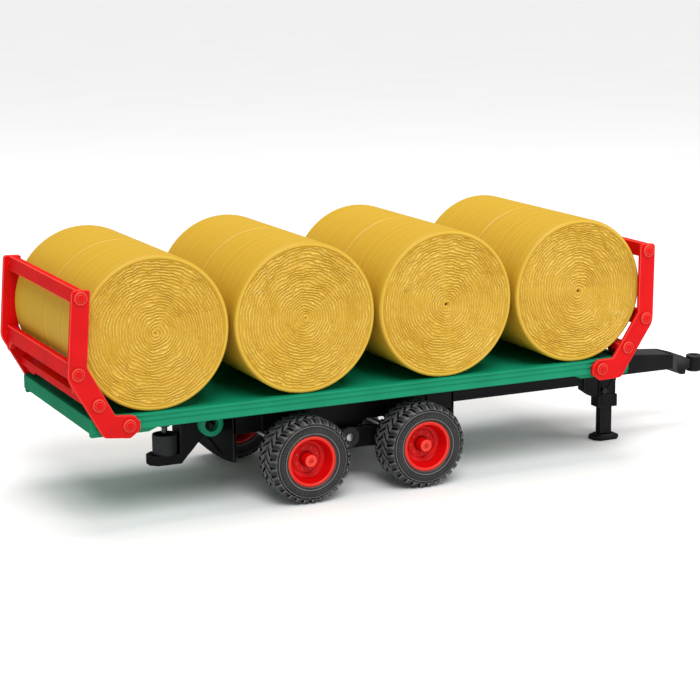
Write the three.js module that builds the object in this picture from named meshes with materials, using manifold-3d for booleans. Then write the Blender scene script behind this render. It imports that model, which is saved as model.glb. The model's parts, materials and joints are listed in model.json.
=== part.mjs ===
// Toy round-bale trailer: a flat deck on a rocking tandem bogie, a leaning rack at each end, a
// drawbar with a jack leg, a rear coupling and eight loose round bales.
// Millimetres, +Z up, +X towards the drawbar, ground at z = 0.
import * as THREE from 'three';
import { mergeVertices } from 'three/addons/utils/BufferGeometryUtils.js';
import Module from 'manifold-3d';

const wasm = await Module();
wasm.setup();

// ---- driving dimensions -------------------------------------------------------------------
// Lengths along the trailer are measured from the deck's middle. A derived value follows the ones
// it fits: the deck is as long and as wide as its load, and rides as high as its wheels need.

// clearances
const GAP = 0.3;              // between two moulded faces that touch
const RUNNING = 0.3;          // round a pin or shaft that turns or slides
const BORE_DEPTH_SPARE = 0.5; // free length at the bottom of a blind hole
const PRESS = 0.1;            // round a cap in its seat

// bales
const BALE_RADIUS = 51.7;
const BALE_WIDTH = 73;
const BALE_ROWS = 4;
const BALE_SPACING = 3.65;    // between neighbouring rows
const BALE_OVERHANG = 6.775;  // of the load past both ends of the deck together, halved
const BALE_ROW_SHIFT = 1.95;  // the load sits this far forward of the deck's middle
const BALE_INSET = 1.7;       // from the deck's side to a bale's outer face
const BALE_WALL = 1.5;
const BALE_EDGE = 2.6;
const BALE_VENT_RADIUS = 1.2;

// wheels
const WHEEL_RADIUS = 29.8;
const WHEEL_SPACING = 28.7;   // between the treads of one side's two wheels
const TYRE_WIDTH = 29;
const TYRE_PROUD = 4.8;       // tyre's outer side beyond the deck's
const TYRE_HEADROOM = 6.7;    // from the tread up to the deck
const TYRE_SHOULDER = 4;
const TYRE_SHOULDER_DROP = 5;
const TYRE_BEAD = 2.5;
const TYRE_BULGE = 1.4;       // the rim's edge lies this far inside the tyre's side
const RIM_RADIUS = 0.594 * WHEEL_RADIUS;
const RIM_WALL = 1.5;
const HUB_PROUD = 8.7;        // of the rim's web, outwards
const RIM_WEB = 3;
const WEB_SHARE = 0.7;        // of the rim's radius that is flat web
const HUB_RADIUS = 4.2;
const HUB_FLARE = 0.8;        // the hub is this much thicker at the web and behind it
const HUB_OUTWARD = 11.2;     // hub face from the wheel's middle
const AXLE_RADIUS = 2.2;
const CAP_RADIUS = 2.4;
const CAP_LENGTH = 1.4;
const CAP_BACKING = 2;

// deck
const RAIL_HEIGHT = 10.2;
const RAIL_THICKNESS = 5;
const RAIL_LIP = 6;           // width of the raised edge beside the floor
const GROOVE_DEPTH = 0.8;
const FLOOR_RECESS = 1.2;
const FLOOR_THICKNESS = 2;
const END_BEAM = 5;
const RIB_THICKNESS = 3;
const RIB_COUNT = 5;
const RIB_FROM_END = 45.5;
const EAR_LENGTH = 40;
const EAR_DROP = 2.4;
const EAR_RAMP = 7;
const LUG_DROP = 13.6;        // hinge lug's centre below the rail's lower edge
const LUG_BEHIND_FRAME = 9;
const LUG_RADIUS = 8.6;
const LUG_HOLE_RADIUS = 5;
const LUG_THICKNESS = 6;

// screws that hold the frame to the deck
const SCREW_RADIUS = 1.4;
const SCREW_LENGTH = 7;
const SCREW_HEAD_RADIUS = 2.8;
const SCREW_HEAD_HEIGHT = 1.8;
const BOSS_RADIUS = 4;

// frame under the deck
const FRAME_BEHIND_BOGIE = 90.7;
const FRAME_SETBACK = 5.5;    // frame's front end behind the deck's
const FRAME_WIDTH = 40;
const FRAME_DEPTH = 22.5;
const FRAME_WALL = 2;

// axle carrier
const CARRIER_BEHIND_BOGIE = 85.2;
const CARRIER_AHEAD_OF_BOGIE = 87.3;
const CARRIER_STANDOFF = 3.5; // between the carrier's sides and the rockers
const CARRIER_WALL = 2.5;
const CARRIER_APRON = 22;     // end plates below the frame
const CARRIER_BOW = 2.5;
const CARRIER_SKIRT = 0.5;    // lower edge of the long side walls above the frame's
const HANGER_HALF_WIDTH = 15;
const HANGER_FOOT_RADIUS = 7;

// bogie
const BOGIE_X = -6.3;
const PIVOT_RADIUS = 3;
const PIVOT_ABOVE_AXLES = 4.2;
const ROCKER_STANDOFF = 5.3;  // between a rocker and the tyre beside it
const ROCKER_THICKNESS = 5;
const ROCKER_RISE = 7;        // rocker's top above its pivot
const ROCKER_FALL = 8;
const ROCKER_FLAT = 20;
const ROCKER_END_RADIUS = 5.2;

// racks, in X outwards and Z up from a rack's own pivot; the upper ones grow with the bales
const RACK_DRAWN_FOR = 51.7;  // the bale radius that these places are drawn for
const RACK_PIVOT_SETBACK = 25.3;
const RACK_PIVOT_DEPTH = 6.1; // below the deck's top
const RACK_PLATE = 3;
const REAR_RACK_LEAN = -2.6;  // degrees from the mean position, outwards positive
const FRONT_RACK_LEAN = 2.6;
const PLATE_OUTLINE = [
  [-1, -8.6], [16.5, -7.4], [19.4, -3.6], [41, 31.6], [41.6, 36], [39.7, 88.6], [38, 90.3],
  [28.8, 90.3], [27.2, 88.7], [28.7, 39.8], [9.4, 7.3], [-3.4, 6.6], [-7.8, 2.2], [-7.8, -3.6],
];
const TOP_BAR_PLACE = [33.8, 85.2];
const MIDDLE_BAR_PLACE = [35, 35.8];
const LOWER_BAR_OUTWARD = 21;
const TAB_REST = 1.7;         // tabs above the deck when the rack stands at its mean position
const PIN_RADIUS = 2.5;
const PIN_HEAD_RADIUS = 4.4;
const PIN_HEAD_HEIGHT = 1.9;
const PIN_CROWN = 0.62;       // crown's share of the head's radius
const PIN_RIM = 0.45;         // share of the head's height below its bevel
const PIN_DEPTH = 4;
const BAR_DEPTH = 5;
const BAR_HEIGHT = 10.5;
const LOWER_BAR_DEPTH = 12;
const LOWER_BAR_HEIGHT = 5;
const TAB_WIDTH = 18;
const TAB_TAPER = 3;
const TAB_DROP = 4.5;
const HAUNCH = 8;

// jack leg
const LEG_AHEAD_OF_FRAME = 21.3;
const LEG_DEPTH = 10;
const LEG_WIDTH = 7;
const HOUSING_DEPTH = 16.5;
const HOUSING_WIDTH = 11.4;
const HOUSING_DROP = 18;      // collar's lower edge below the frame's
const COLLAR_HEIGHT = 9.5;
const HOUSING_HEIGHT = 36.5;
const HOUSING_NECK_INSET = 1;
const FOOT_LENGTH = 22;
const FOOT_WIDTH = 16;
const FOOT_THICKNESS = 4;
const FOOT_CHAMFER = 4;
const LATCH_RADIUS = 1.8;
const LATCH_LENGTH = 5;
const LATCH_ABOVE_COLLAR = 4;
const GUSSET_TOP_INSET = 4;
const GUSSET_STEP = 2;
const BRACE_RISE = 11;
const BRACE_THICKNESS = 3;

// drawbar
const DRAWBAR_WIDTH = 24;
const DRAWBAR_WALL = 2.2;
const TONGUE_LENGTH = 50;     // inside the frame
const TONGUE_LIFT = 3.5;      // tongue's underside above the frame's
const BOX_STEP = 6;
const BOX_DROP = 1.3;         // box's underside below the tongue's
const KNEE_FROM_NOSE = 59;
const KNEE_DROP = 5.2;        // top face below the frame's at the knee
const TAPER_FROM_NOSE = 16;
const WEDGE_FROM_NOSE = 21;
const WEDGE_DROP = 6.7;       // wedge's tip below the box's underside
const WEDGE_TIP_FROM_NOSE = 6;
const SHOULDER_DROP = 8.4;
const BROW_FROM_NOSE = 11;
const BROW_DROP = 11.2;
const NOSE_REACH = 109;       // from the frame's front end
const NOSE_WIDTH = 9;
const NOSE_TOP_DROP = 16;
const NOSE_HEIGHT = 7;
const EYE_FROM_NOSE = 6.6;
const EYE_RADIUS = 6.1;
const EYE_HOLE_RADIUS = 3.5;
const EYE_DROP = 4;           // eye's lower face below the frame's
const EYE_HEIGHT = 12.8;
const EYE_NECK_WIDTH = 6;
const EYE_NECK_INSET = 3;

// rear coupling
const HITCH_BEHIND_FRAME = 31;
const HITCH_BASE_DROP = 23.5; // base's underside below the frame's
const HITCH_BASE_THICKNESS = 7.2;
const HITCH_BASE_BACK = 13;   // base behind the pin
const HITCH_BASE_WIDTH = 17;
const HITCH_CHAMFER = 5;
const CUP_RADIUS = 8.8;
const CUP_WALL = 1.3;
const CUP_HEIGHT = 13.8;
const BRACKET_AHEAD_OF_PIN = 8.5;
const BRACKET_WIDTH = 16;
const BRACKET_SLOPE = 15;
const BRACKET_BEAK = 6;
const HITCH_PIN_RADIUS = 2.1;
const HITCH_PIN_LENGTH = 30;
const HITCH_KNOB_RADIUS = 4;
const HITCH_KNOB_HEIGHT = 4;

// facets on round shapes
const BALE_FACETS = 28;
const TYRE_FACETS = 28;
const RIM_FACETS = 20;
const CUP_FACETS = 24;
const PIN_FACETS = 12;

// ---- derived dimensions --------------------------------------------------------------------
const BALE_PITCH = 2 * BALE_RADIUS + BALE_SPACING;
const HALF_LENGTH = (BALE_PITCH * (BALE_ROWS - 1)) / 2 + BALE_RADIUS - BALE_OVERHANG;
const HALF_WIDTH = GAP + BALE_WIDTH + BALE_INSET;
const DECK_BOTTOM = 2 * WHEEL_RADIUS + TYRE_HEADROOM;
const DECK_TOP = DECK_BOTTOM + RAIL_HEIGHT;
const FLOOR_TOP = DECK_TOP - FLOOR_RECESS;
const FLOOR_BOTTOM = FLOOR_TOP - FLOOR_THICKNESS;

const FRAME_TOP = DECK_BOTTOM - GAP;
const FRAME_BOTTOM = FRAME_TOP - FRAME_DEPTH;
const FRAME_HALF = FRAME_WIDTH / 2;
const FRAME_REAR = BOGIE_X - FRAME_BEHIND_BOGIE;
const FRAME_FRONT = HALF_LENGTH - FRAME_SETBACK;
const TONGUE_REAR = FRAME_FRONT - TONGUE_LENGTH;
const SCREW_STATIONS = [FRAME_REAR + 22, FRAME_REAR + 67, BOGIE_X + 66, TONGUE_REAR - 10];
const LUG_X = FRAME_REAR - LUG_BEHIND_FRAME;
const RIB_PITCH = 2 * (HALF_LENGTH - RIB_FROM_END) / (RIB_COUNT - 1);

const TYRE_MIDDLE = HALF_WIDTH + TYRE_PROUD - TYRE_WIDTH / 2;
const RIM_HALF = TYRE_WIDTH / 2 - TYRE_BULGE;
const AXLE_END = HUB_OUTWARD - CAP_LENGTH - CAP_BACKING;
const HALF_BASE = WHEEL_RADIUS + WHEEL_SPACING / 2;
const PIVOT_HEIGHT = WHEEL_RADIUS + PIVOT_ABOVE_AXLES;
const ROCKER_OUTER = TYRE_MIDDLE - TYRE_WIDTH / 2 - ROCKER_STANDOFF;
const CARRIER_HALF = ROCKER_OUTER - ROCKER_THICKNESS - CARRIER_STANDOFF;
const CARRIER_REAR = BOGIE_X - CARRIER_BEHIND_BOGIE;
const CARRIER_FRONT = BOGIE_X + CARRIER_AHEAD_OF_BOGIE;
const LUG_OUTER_Y = CARRIER_HALF - 2;

const RACK_GROWTH = BALE_RADIUS / RACK_DRAWN_FOR;
const RACK_PIVOT_X = HALF_LENGTH - RACK_PIVOT_SETBACK;
const RACK_PIVOT_Z = DECK_TOP - RACK_PIVOT_DEPTH;
const LOWER_BAR_UP = RACK_PIVOT_DEPTH + TAB_REST + TAB_DROP + LOWER_BAR_HEIGHT / 2;

const NOSE_X = FRAME_FRONT + NOSE_REACH;
const EYE_X = NOSE_X + EYE_FROM_NOSE;
const EYE_BOTTOM = FRAME_BOTTOM - EYE_DROP;
const LEG_X = FRAME_FRONT + LEG_AHEAD_OF_FRAME;
const HITCH_X = FRAME_REAR - HITCH_BEHIND_FRAME;
const HITCH_BASE_BOTTOM = FRAME_BOTTOM - HITCH_BASE_DROP;

// ---- colours ------------------------------------------------------------------------------
const plastic = (colour, roughness) =>
  new THREE.MeshStandardMaterial({ color: colour, roughness, metalness: 0 });
const GREEN = plastic(0x1ea37c, 0.45);
const RED = plastic(0xe42a28, 0.4);
const BLACK = plastic(0x2c2c2e, 0.5);
const RUBBER = plastic(0x232325, 0.85);
const STRAW = plastic(0xdeb546, 0.6);
const STEEL = new THREE.MeshStandardMaterial({ color: 0x9a9a9c, roughness: 0.35, metalness: 0.9 });

// ---- shape tools --------------------------------------------------------------------------
const X_AXIS = new THREE.Vector3(1, 0, 0);
const Y_AXIS = new THREE.Vector3(0, 1, 0);
const Z_AXIS = new THREE.Vector3(0, 0, 1);

function solid(geometry) {
  const bare = geometry.clone();
  bare.deleteAttribute('normal');
  bare.deleteAttribute('uv');
  const merged = mergeVertices(bare, 1e-4);
  return new wasm.Manifold(new wasm.Mesh({
    numProp: 3,
    vertProperties: merged.attributes.position.array,
    triVerts: Uint32Array.from(merged.index.array),
  }));
}

function surface(manifold) {
  const mesh = manifold.getMesh();
  const geometry = new THREE.BufferGeometry();
  geometry.setAttribute('position', new THREE.BufferAttribute(mesh.vertProperties, mesh.numProp));
  geometry.setIndex(new THREE.BufferAttribute(mesh.triVerts, 1));
  geometry.computeVertexNormals();
  return geometry;
}

const join = (...pieces) => surface(pieces.map(solid).reduce((sum, next) => sum.add(next)));
const cut = (body, ...tools) => surface(tools.map(solid).reduce((left, tool) => left.subtract(tool),
  solid(body)));
const common = (a, b) => surface(solid(a).intersect(solid(b)));

function outline(points) {
  return new THREE.Shape(points.map(([a, b]) => new THREE.Vector2(a, b)));
}

// a flat outline in X and Z, extruded along Y from y0 to y1
function slabXZ(points, y0, y1) {
  const geometry = new THREE.ExtrudeGeometry(outline(points), { depth: y1 - y0, bevelEnabled: false });
  return geometry.rotateX(Math.PI / 2).translate(0, y1, 0);
}

// a flat outline in Y and Z, extruded along X from x0 to x1
function slabYZ(points, x0, x1) {
  const geometry = new THREE.ExtrudeGeometry(outline(points), { depth: x1 - x0, bevelEnabled: false });
  return geometry.applyMatrix4(new THREE.Matrix4().makeBasis(Y_AXIS, Z_AXIS, X_AXIS)).translate(x0, 0, 0);
}

// a flat outline in X and Y, extruded along Z from z0 to z1
function slabXY(points, z0, z1) {
  const geometry = new THREE.ExtrudeGeometry(outline(points), { depth: z1 - z0, bevelEnabled: false });
  return geometry.translate(0, 0, z0);
}

function box(x0, x1, y0, y1, z0, z1) {
  const geometry = new THREE.BoxGeometry(x1 - x0, y1 - y0, z1 - z0);
  return geometry.translate((x0 + x1) / 2, (y0 + y1) / 2, (z0 + z1) / 2);
}

function rodY(radius, y0, y1, x, z, facets = PIN_FACETS) {
  return new THREE.CylinderGeometry(radius, radius, y1 - y0, facets).translate(x, (y0 + y1) / 2, z);
}

function rodZ(radius, z0, z1, x, y, facets = PIN_FACETS) {
  const geometry = new THREE.CylinderGeometry(radius, radius, z1 - z0, facets).rotateX(Math.PI / 2);
  return geometry.translate(x, y, (z0 + z1) / 2);
}

// a profile of [radius, height] turned about the Y axis
function turnedY(profile, facets) {
  return new THREE.LatheGeometry(profile.map(([r, y]) => new THREE.Vector2(r, y)), facets);
}

// points of a round arc from one angle to another, in degrees
function arc(cx, cy, radius, from, to, steps) {
  return Array.from({ length: steps + 1 }, (_, i) => {
    const angle = THREE.MathUtils.degToRad(from + (to - from) * i / steps);
    return [cx + radius * Math.cos(angle), cy + radius * Math.sin(angle)];
  });
}

function part(name, geometry, material) {
  const mesh = new THREE.Mesh(geometry, material);
  mesh.name = name;
  return mesh;
}

const SIDES = [['right', -1], ['left', 1]];
const trailer = new THREE.Group();

// ---- deck ---------------------------------------------------------------------------------
// half of the deck's section, from the floor's middle out over the rail and back underneath
function railSection() {
  const groove = HALF_WIDTH - GROOVE_DEPTH;
  const step = RAIL_HEIGHT / 17;
  const outside = [
    [HALF_WIDTH, 0], [HALF_WIDTH, 3], [groove, 4], [groove, 5.5], [HALF_WIDTH, 6.5],
    [HALF_WIDTH, 8.5], [groove, 9.5], [groove, 11], [HALF_WIDTH, 12], [HALF_WIDTH, 17],
  ].map(([y, steps]) => [y, DECK_TOP - steps * step]);
  return [
    [HALF_WIDTH - RAIL_LIP, FLOOR_TOP], [HALF_WIDTH - RAIL_LIP, DECK_TOP],
    ...outside,
    [HALF_WIDTH - RAIL_THICKNESS, DECK_BOTTOM], [HALF_WIDTH - RAIL_THICKNESS, FLOOR_BOTTOM],
  ];
}

function rackEar(end, side) {
  const outer = HALF_LENGTH * end;
  const inner = (HALF_LENGTH - EAR_LENGTH) * end;
  const points = [
    [outer, DECK_TOP - FLOOR_RECESS], [outer, DECK_BOTTOM - EAR_DROP], [inner, DECK_BOTTOM - EAR_DROP],
    [inner - EAR_RAMP * end, DECK_BOTTOM], [inner - EAR_RAMP * end, DECK_TOP - FLOOR_RECESS],
  ];
  const inside = (HALF_WIDTH - RAIL_THICKNESS) * side;
  const outside = (HALF_WIDTH - GROOVE_DEPTH) * side;
  return slabXZ(end > 0 ? points : points.reverse(), Math.min(inside, outside), Math.max(inside, outside));
}

function hingeLug(side) {
  const centre = DECK_BOTTOM - LUG_DROP;
  const points = [
    [LUG_X - LUG_RADIUS, FLOOR_BOTTOM + FLOOR_THICKNESS / 2],
    ...arc(LUG_X, centre, LUG_RADIUS, 180, 360, 10),
    [LUG_X + LUG_RADIUS, FLOOR_BOTTOM + FLOOR_THICKNESS / 2],
  ];
  const y = [LUG_OUTER_Y * side, (LUG_OUTER_Y - LUG_THICKNESS) * side].sort((a, b) => a - b);
  return cut(slabXZ(points.reverse(), ...y), rodY(LUG_HOLE_RADIUS, y[0] - 1, y[1] + 1, LUG_X, centre));
}

function deck() {
  const half = railSection();
  const mirrored = half.map(([y, z]) => [-y, z]).reverse();
  const tray = slabYZ([...half, ...mirrored].reverse(), -HALF_LENGTH, HALF_LENGTH);
  const ribs = Array.from({ length: RIB_COUNT }, (_, i) => {
    const x = (i - (RIB_COUNT - 1) / 2) * RIB_PITCH;
    return box(x - RIB_THICKNESS / 2, x + RIB_THICKNESS / 2, -HALF_WIDTH + 1, HALF_WIDTH - 1,
      DECK_BOTTOM, FLOOR_TOP - 1);
  });
  const beams = [-1, 1].map((end) => {
    const edges = [HALF_LENGTH * end, (HALF_LENGTH - END_BEAM) * end].sort((a, b) => a - b);
    return box(...edges, -HALF_WIDTH, HALF_WIDTH, DECK_BOTTOM, DECK_TOP);
  });
  const bosses = SCREW_STATIONS.map((x) => rodZ(BOSS_RADIUS, DECK_BOTTOM, FLOOR_BOTTOM + 1, x, 0));
  const ears = [-1, 1].flatMap((end) => [-1, 1].map((side) => rackEar(end, side)));
  const lugs = [-1, 1].map(hingeLug);
  const screwHoles = SCREW_STATIONS.map((x) =>
    rodZ(SCREW_RADIUS + RUNNING, DECK_BOTTOM - 1, FLOOR_BOTTOM, x, 0));
  const pinHoles = [-1, 1].flatMap((end) => [-1, 1].map((side) => {
    const inner = (HALF_WIDTH - PIN_DEPTH - BORE_DEPTH_SPARE) * side;
    const y = [inner, (HALF_WIDTH + 1) * side].sort((a, b) => a - b);
    return rodY(PIN_RADIUS + RUNNING, ...y, RACK_PIVOT_X * end, RACK_PIVOT_Z);
  }));
  return cut(join(tray, ...ribs, ...beams, ...bosses, ...ears, ...lugs), ...screwHoles, ...pinHoles);
}
trailer.add(part('deck', deck(), GREEN));

// ---- frame --------------------------------------------------------------------------------
function frame() {
  const inner = FRAME_HALF - FRAME_WALL;
  const roof = FRAME_TOP - FRAME_WALL;
  const channel = slabYZ([
    [-FRAME_HALF, FRAME_BOTTOM], [-inner, FRAME_BOTTOM], [-inner, roof], [inner, roof],
    [inner, FRAME_BOTTOM], [FRAME_HALF, FRAME_BOTTOM], [FRAME_HALF, FRAME_TOP], [-FRAME_HALF, FRAME_TOP],
  ], FRAME_REAR, FRAME_FRONT);
  const holes = SCREW_STATIONS.map((x) => rodZ(SCREW_RADIUS + RUNNING, roof - 1, FRAME_TOP + 1, x, 0));
  return cut(channel, ...holes);
}
trailer.add(part('frame', frame(), BLACK));

SCREW_STATIONS.forEach((x, i) => {
  const seat = FRAME_TOP - FRAME_WALL - GAP;
  const screw = join(
    rodZ(SCREW_RADIUS, seat - 0.1, seat + SCREW_LENGTH, x, 0),
    rodZ(SCREW_HEAD_RADIUS, seat - SCREW_HEAD_HEIGHT, seat, x, 0),
  );
  trailer.add(part(`frame_screw_${i + 1}`, screw, STEEL));
});

// ---- axle carrier: end plates with a bowed lower edge, side walls and bogie hangers --------
function carrierEnd(x0) {
  const low = FRAME_BOTTOM - CARRIER_APRON;
  const bow = Array.from({ length: 9 }, (_, i) => {
    const t = i / 4 - 1;
    return [t * CARRIER_HALF, low + CARRIER_BOW * t * t];
  });
  return slabYZ([...bow, [CARRIER_HALF, FRAME_TOP], [-CARRIER_HALF, FRAME_TOP]], x0, x0 + CARRIER_WALL);
}

function carrierSide(side) {
  const foot = arc(BOGIE_X, PIVOT_HEIGHT, HANGER_FOOT_RADIUS, 180, 360, 8);
  const low = FRAME_BOTTOM + CARRIER_SKIRT;
  const points = [
    [CARRIER_REAR, low], [BOGIE_X - HANGER_HALF_WIDTH, low], ...foot,
    [BOGIE_X + HANGER_HALF_WIDTH, low], [CARRIER_FRONT, low],
    [CARRIER_FRONT, FRAME_TOP], [CARRIER_REAR, FRAME_TOP],
  ];
  const y = [CARRIER_HALF * side, (CARRIER_HALF - CARRIER_WALL) * side].sort((a, b) => a - b);
  return slabXZ(points, ...y);
}

function carrier() {
  const passage = box(CARRIER_REAR - 1, CARRIER_FRONT + 1, -FRAME_HALF - GAP, FRAME_HALF + GAP,
    FRAME_BOTTOM - GAP, FRAME_TOP + 1);
  const bore = rodY(PIVOT_RADIUS + RUNNING, -HALF_WIDTH, HALF_WIDTH, BOGIE_X, PIVOT_HEIGHT);
  const walls = join(carrierEnd(CARRIER_REAR), carrierEnd(CARRIER_FRONT - CARRIER_WALL),
    carrierSide(-1), carrierSide(1));
  return cut(walls, passage, bore);
}
trailer.add(part('axle_carrier', carrier(), BLACK));

// ---- bogie: two rockers on one pivot, an axle at each end ----------------------------------
function rocker(side) {
  const [y0, y1] = [ROCKER_OUTER * side, (ROCKER_OUTER - ROCKER_THICKNESS) * side].sort((a, b) => a - b);
  const top = PIVOT_HEIGHT + ROCKER_RISE;
  const low = PIVOT_HEIGHT - ROCKER_FALL;
  const points = [
    [BOGIE_X - ROCKER_FLAT / 2, low], [BOGIE_X + ROCKER_FLAT / 2, low],
    ...arc(BOGIE_X + HALF_BASE, WHEEL_RADIUS, ROCKER_END_RADIUS, -90, 60, 6),
    [BOGIE_X + ROCKER_FLAT, top], [BOGIE_X - ROCKER_FLAT, top],
    ...arc(BOGIE_X - HALF_BASE, WHEEL_RADIUS, ROCKER_END_RADIUS, 120, 270, 6),
  ];
  const holes = [
    rodY(PIVOT_RADIUS + RUNNING, y0 - 1, y1 + 1, BOGIE_X, PIVOT_HEIGHT),
    rodY(AXLE_RADIUS + RUNNING, y0 - 1, y1 + 1, BOGIE_X + HALF_BASE, WHEEL_RADIUS),
    rodY(AXLE_RADIUS + RUNNING, y0 - 1, y1 + 1, BOGIE_X - HALF_BASE, WHEEL_RADIUS),
  ];
  return cut(slabXZ(points, y0, y1), ...holes);
}
SIDES.forEach(([name, side]) => trailer.add(part(`bogie_rocker_${name}`, rocker(side), BLACK)));

trailer.add(part('bogie_pivot', rodY(PIVOT_RADIUS, -ROCKER_OUTER, ROCKER_OUTER, BOGIE_X, PIVOT_HEIGHT),
  STEEL));

// ---- wheels: the axle ends in a blind hub, a small cap closes the hub's outer face ----------
function tyreProfile() {
  const half = TYRE_WIDTH / 2;
  const bore = RIM_RADIUS + GAP;
  return [
    [bore, -RIM_HALF], [bore + TYRE_BEAD, -half], [WHEEL_RADIUS - TYRE_SHOULDER_DROP, -half],
    [WHEEL_RADIUS, -half + TYRE_SHOULDER], [WHEEL_RADIUS, half - TYRE_SHOULDER],
    [WHEEL_RADIUS - TYRE_SHOULDER_DROP, half], [bore + TYRE_BEAD, half], [bore, RIM_HALF],
    [bore, -RIM_HALF],
  ];
}

// the dished rim, from the cap's seat out over the flange and back inside to the blind hub bore
function rimProfile() {
  const flange = RIM_RADIUS - RIM_WALL;
  const webFront = HUB_OUTWARD - HUB_PROUD;
  const webBack = webFront - RIM_WEB;
  const seat = [CAP_RADIUS + PRESS, HUB_OUTWARD - CAP_LENGTH];
  return [
    [0, seat[1]], seat, [seat[0], HUB_OUTWARD],
    [HUB_RADIUS, HUB_OUTWARD], [HUB_RADIUS + HUB_FLARE, webFront], [RIM_RADIUS * WEB_SHARE, webFront],
    [flange, RIM_HALF], [RIM_RADIUS, RIM_HALF], [RIM_RADIUS, -RIM_HALF], [flange, -RIM_HALF],
    [flange - 1, webBack], [HUB_RADIUS + HUB_FLARE, webBack], [HUB_RADIUS + HUB_FLARE, -RIM_HALF],
    [AXLE_RADIUS + RUNNING, -RIM_HALF],
    [AXLE_RADIUS + RUNNING, AXLE_END + BORE_DEPTH_SPARE], [0, AXLE_END + BORE_DEPTH_SPARE],
  ].reverse();
}

function wheel(tag, x, side) {
  const group = new THREE.Group();
  group.position.set(x, TYRE_MIDDLE * side, WHEEL_RADIUS);
  group.rotation.z = side > 0 ? 0 : Math.PI;
  const capLength = CAP_LENGTH - PRESS;
  const cap = new THREE.CylinderGeometry(CAP_RADIUS, CAP_RADIUS, capLength, PIN_FACETS);
  cap.translate(0, HUB_OUTWARD - capLength / 2, 0);
  group.add(part(`tyre_${tag}`, surface(solid(turnedY(tyreProfile(), TYRE_FACETS))), RUBBER));
  group.add(part(`rim_${tag}`, surface(solid(turnedY(rimProfile(), RIM_FACETS))), RED));
  group.add(part(`hub_cap_${tag}`, cap, RED));
  return group;
}

[['rear', -1], ['front', 1]].forEach(([end, sign]) => {
  const x = BOGIE_X + HALF_BASE * sign;
  const reach = TYRE_MIDDLE + AXLE_END;
  trailer.add(part(`axle_${end}`, rodY(AXLE_RADIUS, -reach, reach, x, WHEEL_RADIUS), STEEL));
  SIDES.forEach(([name, side]) => trailer.add(wheel(`${end}_${name}`, x, side)));
});

// ---- racks: two bent side plates, three cross bars and two pivot pins each -----------------
const PLATE_INNER = HALF_WIDTH + GAP;
const PLATE_OUTER = PLATE_INNER + RACK_PLATE;
const grown = ([x, z]) => [x * RACK_GROWTH, z * RACK_GROWTH];
const TOP_BAR = grown(TOP_BAR_PLACE);
const MIDDLE_BAR = grown(MIDDLE_BAR_PLACE);
const LOWER_BAR = [LOWER_BAR_OUTWARD, LOWER_BAR_UP];

function rackPlate(side) {
  const y = [PLATE_INNER * side, PLATE_OUTER * side].sort((a, b) => a - b);
  const holes = [[0, 0], TOP_BAR, MIDDLE_BAR, LOWER_BAR].map(([x, z]) =>
    rodY(PIN_RADIUS + RUNNING, y[0] - 1, y[1] + 1, x, z));
  return cut(slabXZ(PLATE_OUTLINE.map(grown), ...y), ...holes);
}

// a pin's neck and its low domed head outside the plate
function pin([x, z], innerEnd, side) {
  const seat = PLATE_OUTER + GAP;
  const dome = turnedY([
    [0, 0], [PIN_HEAD_RADIUS, 0], [PIN_HEAD_RADIUS, PIN_HEAD_HEIGHT * PIN_RIM],
    [PIN_HEAD_RADIUS * PIN_CROWN, PIN_HEAD_HEIGHT], [0, PIN_HEAD_HEIGHT],
  ], PIN_FACETS).translate(0, seat, 0);
  const length = seat - innerEnd + PIN_HEAD_HEIGHT / 2;
  const neck = new THREE.CylinderGeometry(PIN_RADIUS, PIN_RADIUS, length, PIN_FACETS);
  const stub = join(dome, neck.translate(0, innerEnd + length / 2, 0));
  return stub.rotateZ(side > 0 ? 0 : Math.PI).translate(x, 0, z);
}

function barWithPins(body, place) {
  return join(body, ...[-1, 1].map((side) => pin(place, HALF_WIDTH - 1, side)));
}

function plainBar([x, z]) {
  return box(x - BAR_DEPTH / 2, x + BAR_DEPTH / 2, -HALF_WIDTH, HALF_WIDTH, z - BAR_HEIGHT / 2,
    z + BAR_HEIGHT / 2);
}

// the middle bar grows deeper towards its ends
function haunchedBar([x, z]) {
  const low = z - BAR_HEIGHT / 2;
  const haunches = [-1, 1].map((side) => {
    const points = [[HALF_WIDTH, low + 1], [HALF_WIDTH - HAUNCH - 1, low + 1], [HALF_WIDTH, low - HAUNCH]];
    const turned = points.map(([y, h]) => [y * side, h]);
    return slabYZ(side > 0 ? turned : turned.reverse(), x - BAR_DEPTH / 2, x + BAR_DEPTH / 2);
  });
  return join(plainBar([x, z]), ...haunches);
}

// the lower bar is a flat shelf with a tab at each end that rests on the deck's end beam
function shelfBar([x, z]) {
  const low = z - LOWER_BAR_HEIGHT / 2;
  const shelf = box(x - LOWER_BAR_DEPTH / 2, x + LOWER_BAR_DEPTH / 2, -HALF_WIDTH, HALF_WIDTH, low,
    low + LOWER_BAR_HEIGHT);
  const tabs = [-1, 1].map((side) => {
    const points = [[HALF_WIDTH, low + 1], [HALF_WIDTH - TAB_WIDTH - TAB_TAPER, low + 1],
      [HALF_WIDTH - TAB_WIDTH, low - TAB_DROP], [HALF_WIDTH, low - TAB_DROP]];
    const turned = points.map(([y, h]) => [y * side, h]);
    return slabYZ(side > 0 ? turned : turned.reverse(), x - BAR_DEPTH / 2, x + BAR_DEPTH / 2);
  });
  return join(shelf, ...tabs);
}

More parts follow.
